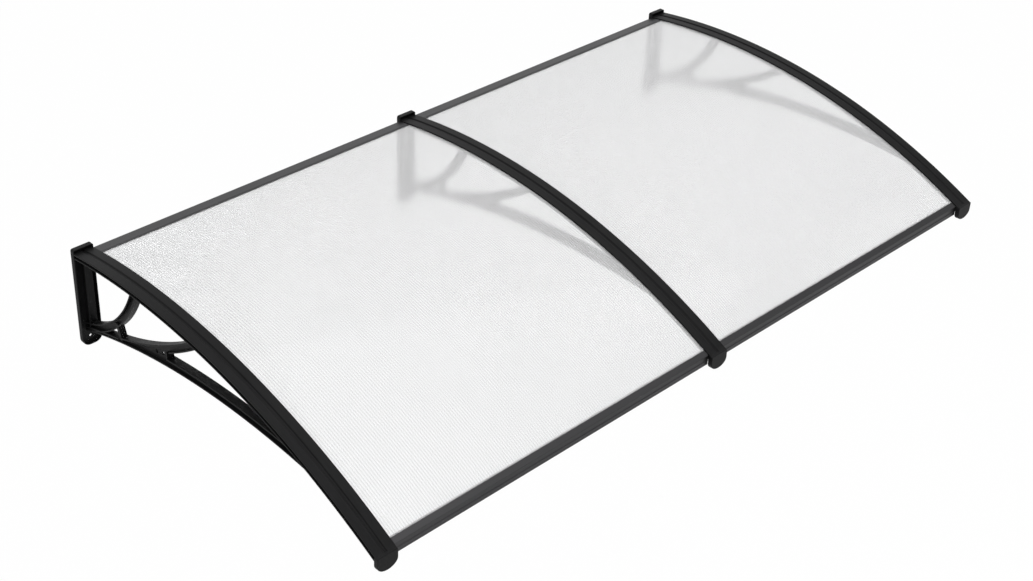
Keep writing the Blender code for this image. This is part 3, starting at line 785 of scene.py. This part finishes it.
def hand_over(thing, name, offset, finish, nodes):
    """Copy a finished shape to its place as a piece that stands for its CAD nodes."""
    mesh = thing.data.copy()
    mesh.transform(Matrix.Translation(offset))
    mesh.name = name
    mesh.materials.clear()
    mesh.materials.append(finish)
    piece = linked(name, mesh)
    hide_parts(*nodes)
    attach(piece, BODY)


def hand_over_row(thing, part, made, places, finish):
    """Hand over a shape once for each named place along X, and drop the shape itself."""
    for side, across in places:
        node = f"{part}_{side}"
        hand_over(thing, f"{node}_{made}", (across, 0.0, 0.0), finish, [node])
    drop(thing)


def bays(sizes):
    """Name and middle of each bay."""
    return (("left", -sizes.bay_pitch / 2), ("right", sizes.bay_pitch / 2))


def plate_outline(view, inset):
    """Outline of the wall plate as (across, height), drawn in by an inset."""
    half = view.sizes.plate_width / 2 - inset
    top = view.plate_top - inset
    foot = view.plate_foot + inset
    foot_radius = PLATE_FOOT_RADIUS - inset
    top_radius = PLATE_TOP_RADIUS - inset
    corners = (
        (half - foot_radius, foot + foot_radius, foot_radius, -pi / 2),
        (half - top_radius, top - top_radius, top_radius, 0.0),
        (top_radius - half, top - top_radius, top_radius, pi / 2),
        (foot_radius - half, foot + foot_radius, foot_radius, pi),
    )
    return [
        (across + radius * cos(angle), height + radius * sin(angle))
        for across, height, radius, turn in corners
        for angle in steps(turn, turn + pi / 2, PLATE_CORNER_STEPS)
    ]


def wall_plate(view):
    """Tray that screws to the wall, with a rounded rim and a fillet between rim and floor."""
    edge = PLATE_FILLET
    depth = view.sizes.plate_depth
    turns = steps(0.0, pi / 2, CORNER_PARTS)
    path = [(PLATE_BACK_EDGE, 0.0), (0.0, PLATE_BACK_EDGE)]
    path += [(edge * (1 - cos(t)), depth - edge + edge * sin(t)) for t in turns]
    path += [(PLATE_WALL - edge + edge * sin(t), depth - edge + edge * cos(t)) for t in turns]
    path += [(PLATE_WALL + edge * (1 - cos(t)), PLATE_FLOOR + edge * (1 - sin(t))) for t in turns]
    return layered("plate", view, plate_outline, path)


def nose_outline(view, inset):
    """Outline of the nose plate: straight top with small corners and a round chin."""
    half = NOSE_WIDTH / 2 - inset
    rail_end = view.rail.height_at(view.sizes.projection)
    top = rail_end + NOSE_RISE - inset
    chin = rail_end + NOSE_RISE - NOSE_DEPTH + NOSE_CHIN
    corner = NOSE_CORNER - inset
    outline = []
    for centre, turn in ((half - corner, 0.0), (corner - half, pi / 2)):
        for angle in steps(turn, turn + pi / 2, 2 * CORNER_PARTS):
            outline.append((centre + corner * cos(angle), top - corner + corner * sin(angle)))
    for angle in steps(pi, 2 * pi, 2 * PLATE_CORNER_STEPS):
        outline.append((half * cos(angle), chin + (NOSE_CHIN - inset) * sin(angle)))
    return outline


def nose_plate(view):
    """Upright end plate with rounded front and back edges."""
    front = view.sizes.projection
    back = front - NOSE_THICKNESS
    edge = NOSE_EDGE
    turns = steps(0.0, pi / 2, CORNER_PARTS)
    path = [(edge * (1 - sin(t)), back + edge * (1 - cos(t))) for t in turns]
    path += [(edge * (1 - cos(t)), front - edge + edge * sin(t)) for t in turns]
    return layered("nose", view, nose_outline, path)


def rail_outline(view):
    """H outline as (across, level from the rail's top), with a groove along the middle."""
    web = RAIL_WEB / 2
    groove = view.sizes.groove_width / 2
    half = view.rail_half
    right = [
        (groove * GROOVE_FLOOR, -GROOVE_DEPTH),
        (groove, 0.0),
        (half, 0.0),
        (half, -TOP_FLANGE),
        (web, -TOP_FLANGE),
        (web, -view.lower_flange),
        (half, -view.lower_flange),
        (half, -view.rail_depth),
    ]
    left = [(-across, level) for across, level in reversed(right)]
    return rounded(right + left, view.sizes.rail_edge)


def curved_rail(view, finish):
    """The rail, swept along its arc by Geometry Nodes."""
    bm = bmesh.new()
    corners = [bm.verts.new((level, across, 0.0)) for across, level in rail_outline(view)]
    for i, corner in enumerate(corners):
        bm.edges.new((corner, corners[(i + 1) % len(corners)]))
    rail = hold("rail", bm)
    start = view.rail.angle_at(EMBED / 2)
    end = view.rail.angle_at(view.sizes.projection - EMBED)
    run_tree(rail, rail_sweep_tree(), {
        "Radius": view.rail.radius,
        "Start Angle": pi / 2 + start,
        "Sweep Angle": end - start,
        "Stations": view.sizes.rail_steps + 1,
        "Crest Reach": view.rail.reach,
        "Centre Height": view.rail.height,
        "Material": finish,
    })
    bm = bmesh.new()
    bm.from_mesh(rail.data)
    bmesh.ops.remove_doubles(bm, verts=bm.verts, dist=SEAM_WELD)
    drop(rail)
    return hold("rail", bm)


def flanged(near, far, half, web, far_half, edge):
    """Rounded I section between two radii, with a flange of its own width along each edge."""
    right = [
        (half, near),
        (half, near + BRACE_FLANGE),
        (web, near + BRACE_FLANGE),
        (web, far - BRACE_FLANGE),
        (far_half, far - BRACE_FLANGE),
        (far_half, far),
    ]
    return rounded(right + [(-across, radius) for across, radius in reversed(right)], edge)


def deepening(view, arc, half, web, start, fork, bare):
    """Rule for the section of a brace that deepens from its start to the fork. Between the angles
    bare and fork its far flange is only a bead."""
    def section(angle):
        depth = blend(STRUT_HEEL_DEPTH, BRACE_DEPTH, (angle - start) / (fork - start))
        far_half = web + FLANGE_BEAD if bare < angle < fork else half
        return flanged(arc.radius, arc.radius + depth, half, web, far_half, view.sizes.brace_edge)

    return section


def strut_piece(view):
    """Long lower strut: thin at its heel, deeper past the fork with the second arc."""
    arc = view.strut
    link = arc.angle_at(LINK_REACH)
    fork = arc.angle_at(STRUT_FORK_REACH)
    run_out = FLANGE_RUN_OUT / arc.radius
    count = view.sizes.brace_steps
    heel = steps(arc.angle_at(-EMBED), link, count // 4)
    middle = steps(link + run_out, fork - run_out, count // 3)
    front = steps(fork, arc.angle_at(view.sizes.projection - NOSE_THICKNESS), count)
    section = deepening(view, arc, STRUT_WIDTH / 2, STRUT_WEB / 2, link, fork, link)
    return sweep("strut", arc, heel + middle + front, section)


def first_arc_piece(view):
    """Brace from the foot of the plate up to the rail."""
    arc = view.first_arc
    start = arc.angle_at(-EMBED)
    end = arc.angle_at(FIRST_ARC_REACH) + BRACE_DEPTH / arc.radius
    half = ARC_WIDTH / 2
    near = arc.radius
    section = flanged(near, near + BRACE_DEPTH, half, ARC_WEB / 2, half, view.sizes.brace_edge)
    return sweep("first_arc", arc, steps(start, end, view.sizes.brace_steps), section)


def second_arc_piece(view):
    """Brace that leaves the strut at the link and sweeps up to the rail."""
    arc = view.second_arc
    start = arc.angle_at(view.second_start)
    fork = arc.angle_at(STRUT_FORK_REACH)
    end = arc.angle_at(SECOND_ARC_REACH) + 2 * BRACE_DEPTH / arc.radius
    count = view.sizes.brace_steps // 2
    joined = steps(start, fork - FLANGE_RUN_OUT / arc.radius, count)
    section = deepening(view, arc, ARC_WIDTH / 2, ARC_WEB / 2, start, fork, -pi)
    return sweep("second_arc", arc, joined + steps(fork, end, count), section)


def fork_pieces(view):
    """Web in the wedge between the strut and the second arc, and the wall that closes it."""
    reaches = steps(LINK_REACH, STRUT_FORK_REACH, view.sizes.brace_steps)
    half_flange = BRACE_FLANGE / 2
    under = [(reach, view.strut.height_at(reach) + half_flange) for reach in reaches]
    over = [(reach, view.second_arc.height_at(reach) - half_flange) for reach in reaches]
    back = STRUT_FORK_REACH - BRACE_FLANGE
    low = view.strut.height_at(STRUT_FORK_REACH) + BRACE_DEPTH - half_flange
    high = view.second_arc.height_at(back) - BRACE_DEPTH + half_flange
    foot = (back, STRUT_FORK_REACH, low)
    top = (back, STRUT_FORK_REACH, high)
    return [
        prism_along_x("fork_web", under + over[::-1], FILL_WEB / 2),
        post("fork_wall", FORK_WALL_WIDTH / 2, foot, top, view.sizes.brace_edge),
    ]


def spine_pieces(view):
    """Upright web and flange on the wall plate, behind the first opening."""
    top = view.rail.height_at(SPINE_REACH)
    foot = view.first_arc.height_at(SPINE_REACH) - BRACE_DEPTH / 2
    back = SPINE_REACH - BRACE_FLANGE
    web = boxed(EMBED, SPINE_REACH - BRACE_FLANGE / 2, foot, top)
    low = (back, SPINE_REACH, foot)
    high = (back, SPINE_REACH, top)
    return [
        prism_along_x("spine_web", web, SPINE_WEB / 2),
        post("spine_flange", SPINE_WIDTH / 2, low, high, view.sizes.brace_edge),
    ]


def link_piece(view):
    """Short block between the first arc and the strut."""
    top_reach = LINK_REACH - LINK_LEAN / 2
    foot_reach = LINK_REACH + LINK_LEAN / 2
    top = view.first_arc.height_at(top_reach, view.first_arc.radius + BRACE_DEPTH / 2)
    foot = view.strut.height_at(foot_reach) + STRUT_HEEL_DEPTH / 2
    half = LINK_DEPTH / 2
    ends = [(r - half, r + half, height) for r, height in ((foot_reach, foot), (top_reach, top))]
    return post("link", LINK_WIDTH / 2, *ends, view.sizes.brace_edge)


def bracing(view):
    """All braces as one solid, trimmed inside the lower flange and inside the plate's floor."""
    pieces = [strut_piece(view), first_arc_piece(view), second_arc_piece(view), link_piece(view)]
    pieces += fork_pieces(view) + spine_pieces(view)
    braces = combine(pieces[0], pieces[1:], "UNION")
    tall = view.sizes.plate_height
    trim = view.rail_under + LOWER_FLANGE / 2
    angles = steps(TRIM_START, TRIM_END, view.sizes.rail_steps)
    above = sweep("above", view.rail, angles, strip(tall, trim, view.rail.radius + tall))
    behind = prism_along_x("behind", boxed(-tall, EMBED, -tall, tall), tall)
    return combine(braces, [above, behind], "DIFFERENCE")


def wall_hole(view):
    """The screw hole at the foot of the plate."""
    middle = (0.0, 0.0, view.plate_foot + WALL_HOLE_RISE)
    return round_bar("wall_hole", middle, (0, 1, 0), WALL_HOLE / 2, 3 * PLATE_FLOOR)


def web_holes(view):
    """Two small holes through the web where the second arc and the strut part."""
    cutters = []
    for reach in (WEB_HOLE_REACH, WEB_HOLE_REACH + WEB_HOLE_SPACING):
        low = view.strut.height_at(reach) + BRACE_FLANGE
        high = view.second_arc.height_at(reach) - BRACE_FLANGE
        middle = (0.0, -reach, (low + high) / 2)
        cutters.append(round_bar("web_hole", middle, (1, 0, 0), WEB_HOLE / 2, 2 * STRUT_WEB))
    return cutters


def tongue_holes(view, angle, across_places):
    """Screw holes through the lower flange and the tongue above it."""
    seat, square = view.screw_seat(angle)
    middle = seat + square * ((LOWER_FLANGE + TONGUE_WALL) / 2)
    radius = SCREW_SHANK / 2 + GAP
    reach = view.rail_depth - view.sheet_top
    return [
        round_bar(
            "tongue_hole", middle + Vector((x, 0.0, 0.0)), square, radius, reach, TONGUE_HOLE_SIDES
        )
        for x in across_places
    ]


class AWNING_OT_brackets(bpy.types.Operator):
    """Build the three moulded wall brackets"""

    bl_idname = "awning.brackets"
    bl_label = "Wall brackets"

    def execute(self, context):
        sizes = context.scene.awning_sizes
        view = SideView(sizes)
        finish = finish_called("black_moulded_plastic", black_plastic)
        body = combine(
            curved_rail(view, finish), [wall_plate(view), nose_plate(view), bracing(view)], "UNION"
        )
        sides = (-view.screw_across, view.screw_across)
        cutters = [wall_hole(view)] + web_holes(view)
        for angle in (view.rear_screw_angle, view.front_screw_angle):
            cutters += tongue_holes(view, angle, sides)
        body = smooth(combine(body, cutters, "DIFFERENCE"))
        places = (("left", -sizes.bay_pitch), ("middle", 0.0), ("right", sizes.bay_pitch))
        hand_over_row(body, "bracket", "moulding", places, finish)
        return {"FINISHED"}


def flute_cell(view, pitch, stations):
    """One cell of the sheet: a strip of each wall, the hollow between them and two open ends."""
    sizes = view.sizes
    high = view.rail.radius - view.sheet_top
    low = view.rail.radius - view.sheet_under
    start = view.rail.angle_at(view.sheet_back, high)
    end = view.rail.angle_at(view.sheet_front, high)
    inner = pitch - sizes.sheet_rib
    skin = sizes.sheet_skin
    outside = strip(pitch / 2, low, high)
    hollow = strip(inner / 2, low + skin, high - skin)
    bm = bmesh.new()
    rows = []
    for angle in steps(start, end, stations):
        row = []
        for across, radius in outside + hollow:
            reach, height = view.rail.point(angle, radius)
            row.append(bm.verts.new((across, -reach, height)))
        rows.append(row)
    for row, following in zip(rows, rows[1:]):
        for i, j in ((0, 1), (2, 3), (4, 5), (5, 6), (6, 7), (7, 4)):
            bm.faces.new((row[i], row[j], following[j], following[i]))
    for row in (rows[0], rows[-1]):
        for i in range(4):
            j = (i + 1) % 4
            bm.faces.new((row[i], row[j], row[4 + j], row[4 + i]))
    return hold("cell", bm)


def close_sides(sheet):
    """Close the two open side edges of the welded sheet and turn its faces outwards."""
    bm = bmesh.new()
    bm.from_mesh(sheet.data)
    bmesh.ops.holes_fill(bm, edges=[edge for edge in bm.edges if edge.is_boundary])
    if any(not edge.is_manifold for edge in bm.edges):
        raise RuntimeError("the roof sheet isn't closed")
    drop(sheet)
    return hold("sheet", bm)


class AWNING_OT_roof_sheets(bpy.types.Operator):
    """Build the two curved twin-wall roof sheets"""

    bl_idname = "awning.roof_sheets"
    bl_label = "Roof sheets"

    def execute(self, context):
        sizes = context.scene.awning_sizes
        view = SideView(sizes)
        finish = finish_called("cloudy_twin_wall", cloudy_sheet)
        pitch = 2 * view.sheet_half / sizes.cells
        sheet = run_tree(flute_cell(view, pitch, sizes.sheet_steps), flute_tree(), {
            "Cells": sizes.cells,
            "Pitch": pitch,
            "First Cell": pitch / 2 - view.sheet_half,
            "Weld Distance": CELL_WELD,
            "Material": finish,
        })
        sheet = smooth(close_sides(sheet))
        hand_over_row(sheet, "roof_sheet", "fluted", bays(sizes), finish)
        return {"FINISHED"}


def rear_bar_outline(view):
    """Channel over the rear edge of the sheet, with a lower lip along its front."""
    wall = view.sizes.bar_wall
    back = view.rear_back
    lip_end = back + REAR_BAR_WIDTH
    lip_start = lip_end - REAR_BAR_LIP
    lip_level = view.bar_top + REAR_BAR_LIP_DROP
    leg_end = view.sheet_back + REAR_BAR_LEG
    corners = [
        (view.bar_top, back),
        (view.bar_top, lip_start),
        (lip_level, lip_start + REAR_BAR_LIP_DROP),
        (lip_level, lip_end),
        (view.bar_roof, lip_end),
        (view.bar_roof, back + wall),
        (view.tongue_top, back + wall),
        (view.tongue_top, leg_end),
        (view.tongue_under, leg_end),
        (view.tongue_under, back),
    ]
    return view.sloped(view.rear_screw_angle, corners)


def front_bar_outline(view):
    """Channel over the sheet's front edge, with a tall face, a bead and a return at its foot."""
    angle = view.front_screw_angle
    wall = view.sizes.bar_wall
    face = view.front_face
    inner = face - wall
    cover = face - FRONT_BAR_COVER
    leg_end = view.sheet_front - FRONT_BAR_LEG
    top = view.slope_at(angle, view.bar_top, face)[1]
    foot = top - FRONT_BAR_HEIGHT
    bead = top - FRONT_BAR_BEAD_DROP
    upper = [
        (view.tongue_top, inner),
        (view.bar_roof, inner),
        (view.bar_roof, cover),
        (view.bar_top, cover),
    ]
    front = [
        (face, top),
        (face, bead + FRONT_BAR_BEAD),
        (face + FRONT_BAR_BEAD, bead + FRONT_BAR_BEAD / 2),
        (face + FRONT_BAR_BEAD, bead - FRONT_BAR_BEAD / 2),
        (face, bead - FRONT_BAR_BEAD),
        (face, foot),
        (face - FRONT_BAR_RETURN, foot),
        (face - FRONT_BAR_RETURN, foot + wall),
        (inner, foot + wall),
    ]
    leg = [
        (view.tongue_under, inner),
        (view.tongue_under, leg_end),
        (view.tongue_top, leg_end),
    ]
    return view.sloped(angle, upper) + front + view.sloped(angle, leg)


def edge_bar(view, outline, tongue, angle):
    """One bar: its rounded outline along X, with a tongue past each end and its screw holes."""
    bar = prism_along_x("bar", rounded(outline, BAR_EDGE), view.bar_half)
    high = view.tongue_top + TONGUE_SKIN
    low = view.tongue_under - TONGUE_SKIN
    levels = ((high, tongue[0]), (high, tongue[1]), (low, tongue[1]), (low, tongue[0]))
    slab = view.sloped(angle, levels)
    bar = combine(bar, [prism_along_x("tongue", slab, view.tongue_half)], "UNION")
    holes = tongue_holes(view, angle, (-view.screw_along, view.screw_along))
    return smooth(combine(bar, holes, "DIFFERENCE"))


class AWNING_OT_edge_bars(bpy.types.Operator):
    """Build the folded bars along the rear and front edges of the roof sheets"""

    bl_idname = "awning.edge_bars"
    bl_label = "Edge bars"

    def execute(self, context):
        view = SideView(context.scene.awning_sizes)
        finish = finish_called("dark_anodised_metal", brushed_dark_metal)
        rear = edge_bar(view, rear_bar_outline(view), view.rear_tongue, view.rear_screw_angle)
        front = edge_bar(view, front_bar_outline(view), view.front_tongue, view.front_screw_angle)
        for bar, part in ((rear, "rear_bar"), (front, "front_bar")):
            hand_over_row(bar, part, "folded", bays(view.sizes), finish)
        return {"FINISHED"}


def screw_blank(view):
    """Pan head screw along Z with a cross recess, its seat at the origin and its shank upwards."""
    top = LOWER_FLANGE + GAP + TONGUE_WALL + GAP
    head = view.sizes.screw_head / 2
    shank = SCREW_SHANK / 2
    profile = [
        (shank * SCREW_TIP, top),
        (shank, top - shank * (1 - SCREW_TIP)),
        (shank, 0.0),
        (head * SCREW_FOOT, 0.0),
    ]
    for t in steps(0.0, pi / 2, SCREW_DOME_STEPS)[:-1]:
        rise = SCREW_RIM + (1 - SCREW_RIM) * sin(t)
        profile.append((head * cos(t) ** SCREW_DOME, -SCREW_HEAD_HEIGHT * rise))
    turns = [2 * pi * i / SCREW_SIDES for i in range(SCREW_SIDES)]
    screw = loft("screw", [
        [(radius * cos(turn), radius * sin(turn), height) for turn in turns]
        for radius, height in profile
    ])
    arms = []
    floor = RECESS_DEPTH - SCREW_HEAD_HEIGHT
    for long, wide in ((RECESS_ARM, RECESS_WIDTH), (RECESS_WIDTH * RECESS_OVERLAP, RECESS_ARM)):
        rings = []
        for height, taper in ((-2 * SCREW_HEAD_HEIGHT, 1.0), (floor, RECESS_TAPER)):
            section = strip(long / 2 * taper, -wide / 2 * taper, wide / 2 * taper)
            rings.append([(x, y, height) for x, y in section])
        arms.append(loft("arm", rings))
    return combine(screw, arms, "DIFFERENCE")


def screw_seats(view):
    """A point with the rail's slope for each screw, and the nodes that the screws stand for."""
    places, slopes, nodes = [], [], []
    for edge, angle in (("rear", view.rear_screw_angle), ("front", view.front_screw_angle)):
        seat, square = view.screw_seat(angle)
        seat -= square * GAP
        for side, middle in bays(view.sizes):
            for end, sign in (("left", -1), ("right", 1)):
                places.append((middle + sign * view.screw_along, seat.y, seat.z))
                slopes.append(angle)
                nodes.append(f"screw_{edge}_{side}_{end}")
    mesh = bpy.data.meshes.new("seats")
    mesh.from_pydata(places, [], [])
    mesh.attributes.new("slope", "FLOAT", "POINT").data.foreach_set("value", slopes)
    return linked("seats", mesh), nodes


class AWNING_OT_screws(bpy.types.Operator):
    """Set the screws that hold the bars' tongues under the rails"""

    bl_idname = "awning.screws"
    bl_label = "Screws"

    def execute(self, context):
        view = SideView(context.scene.awning_sizes)
        finish = finish_called("plain_steel", plain_steel)
        seats, nodes = screw_seats(view)
        blank = screw_blank(view)
        smooth(blank)
        run_tree(seats, screw_tree(), {"Screw": blank, "Material": finish})
        hand_over(seats, "tongue_screws", (0.0, 0.0, 0.0), finish, nodes)
        drop(seats)
        drop(blank)
        return {"FINISHED"}


def add_lamp(name, place, size, power):
    """Soft square lamp that faces the awning."""
    lamp = bpy.data.lights.new(name, "AREA")
    lamp.shape = "SQUARE"
    lamp.size = size
    lamp.energy = power
    thing = linked(name, lamp)
    thing.location = place
    aim = Vector(LAMP_TARGET) - Vector(place)
    thing.rotation_euler = aim.to_track_quat("-Z", "Y").to_euler()


def add_camera():
    """Camera at the photograph's viewing angle."""
    azimuth, elevation = CAMERA_AZIMUTH, CAMERA_ELEVATION
    back = Vector((
        sin(azimuth) * cos(elevation), -cos(azimuth) * cos(elevation), sin(elevation)
    ))
    level = Vector((cos(azimuth), sin(azimuth), 0.0))
    upward = back.cross(level)
    right = cos(CAMERA_ROLL) * level + sin(CAMERA_ROLL) * upward
    up = cos(CAMERA_ROLL) * upward - sin(CAMERA_ROLL) * level
    data = bpy.data.cameras.new("photo_camera")
    data.sensor_fit = "HORIZONTAL"
    data.sensor_width = CAMERA_SENSOR
    data.lens = CAMERA_FOCUS
    data.shift_x, data.shift_y = CAMERA_SHIFT
    matrix = Matrix((right, up, back)).transposed().to_4x4()
    matrix.translation = CAMERA_PLACE
    camera = linked("photo_camera", data)
    camera.matrix_world = matrix
    bpy.context.scene.camera = camera


def bare_graph(owner):
    """The emptied node tree of a world or a material."""
    owner.use_nodes = True
    owner.node_tree.nodes.clear()
    return Graph(owner.node_tree)


def ray_kinds(graph):
    """Value for rays that the camera follows, also through a sheet, and one for glossy rays."""
    ray = graph.add("ShaderNodeLightPath").outputs
    kinds = ("Camera", "Transmission", "Glossy")
    straight, through, glossy = (Value(graph, ray[f"Is {kind} Ray"]) for kind in kinds)
    return straight.larger(through), glossy


def light_world(scene):
    """White for the camera, white with a dark side in polished surfaces, and even light."""
    world = bpy.data.worlds.new("studio")
    graph = bare_graph(world)
    seen, glossy = ray_kinds(graph)
    place = graph.add("ShaderNodeTexCoord").outputs["Generated"]
    product = {"operation": "DOT_PRODUCT"}
    turned = graph.number("ShaderNodeVectorMath", product, {0: place, 1: DARK_SIDE}, output=1)
    fade = graph.number("ShaderNodeMapRange", None, {
        "Value": turned,
        "From Min": DARK_FROM,
        "From Max": DARK_FULL,
        "To Min": 1.0,
        "To Max": DARK_LEFT,
    })
    bright = seen.larger(glossy * fade)
    strength = bright + (1.0 - bright) * (1.0 - glossy) * SOFT_LIGHT
    sky = graph.add("ShaderNodeBackground", None, {"Color": WHITE, "Strength": strength})
    graph.add("ShaderNodeOutputWorld", None, {"Surface": sky.outputs["Background"]})
    scene.world = world


def floor_finish(looks):
    """Pale floor that the camera sees as nearly white, with a trace of the shadow left on it."""
    made = bpy.data.materials.new("pale_floor")
    graph = bare_graph(made)
    place = graph.add("ShaderNodeTexCoord").outputs["Object"]
    clouds = graph.noise(place, scale=2.0, detail=3.0)
    tint = graph.mixed(clouds, looks.floor, [part * FLOOR_TONE for part in looks.floor])
    seen, _ = ray_kinds(graph)
    plain = graph.add("ShaderNodeBsdfDiffuse", None, {"Color": tint})
    bright = graph.add("ShaderNodeEmission", None, {"Color": WHITE, "Strength": 1.0})
    both = graph.add("ShaderNodeMixShader", None, {
        0: seen * FLOOR_WHITE,
        1: plain.outputs["BSDF"],
        2: bright.outputs["Emission"],
    })
    graph.add("ShaderNodeOutputMaterial", None, {"Surface": both.outputs["Shader"]})
    return made


class AWNING_OT_stage(bpy.types.Operator):
    """Add the floor, the lamps, the background and the camera"""

    bl_idname = "awning.stage"
    bl_label = "Stage"

    def execute(self, context):
        scene = context.scene
        bm = bmesh.new()
        bmesh.ops.create_circle(bm, cap_ends=True, segments=FLOOR_SIDES, radius=FLOOR_RADIUS)
        bmesh.ops.translate(bm, vec=(0.0, 0.0, -scene.awning_sizes.floor_drop), verts=bm.verts)
        floor = hold("floor", bm)
        floor.data.materials.append(floor_finish(scene.awning_looks))
        for lamp in LAMPS:
            add_lamp(*lamp)
        light_world(scene)
        add_camera()
        scene.view_settings.view_transform = "Standard"
        return {"FINISHED"}


class AWNING_PT_panel(bpy.types.Panel):
    """Lists the awning's pieces, sizes and colours"""

    bl_idname = "AWNING_PT_panel"
    bl_label = "Door awning"
    bl_space_type = "VIEW_3D"
    bl_region_type = "UI"
    bl_category = "Awning"

    def draw(self, context):
        layout = self.layout
        for step in STEPS:
            layout.operator(step.bl_idname)
        for group in (context.scene.awning_sizes, context.scene.awning_looks):
            column = layout.column(align=True)
            for name in type(group).__annotations__:
                column.prop(group, name)


STEPS = (
    AWNING_OT_brackets,
    AWNING_OT_roof_sheets,
    AWNING_OT_edge_bars,
    AWNING_OT_screws,
    AWNING_OT_stage,
)
CLASSES = (AwningSizes, AwningLooks) + STEPS + (AWNING_PT_panel,)


def register():
    for cls in CLASSES:
        bpy.utils.register_class(cls)
    bpy.types.Scene.awning_sizes = PointerProperty(type=AwningSizes)
    bpy.types.Scene.awning_looks = PointerProperty(type=AwningLooks)


def unregister():
    del bpy.types.Scene.awning_looks
    del bpy.types.Scene.awning_sizes
    for cls in reversed(CLASSES):
        bpy.utils.unregister_class(cls)


def main():
    """Build the awning piece by piece."""
    register()
    bpy.ops.awning.brackets()
    bpy.ops.awning.roof_sheets()
    bpy.ops.awning.edge_bars()
    bpy.ops.awning.screws()
    bpy.ops.awning.stage()


if __name__ == "__main__":
    main()
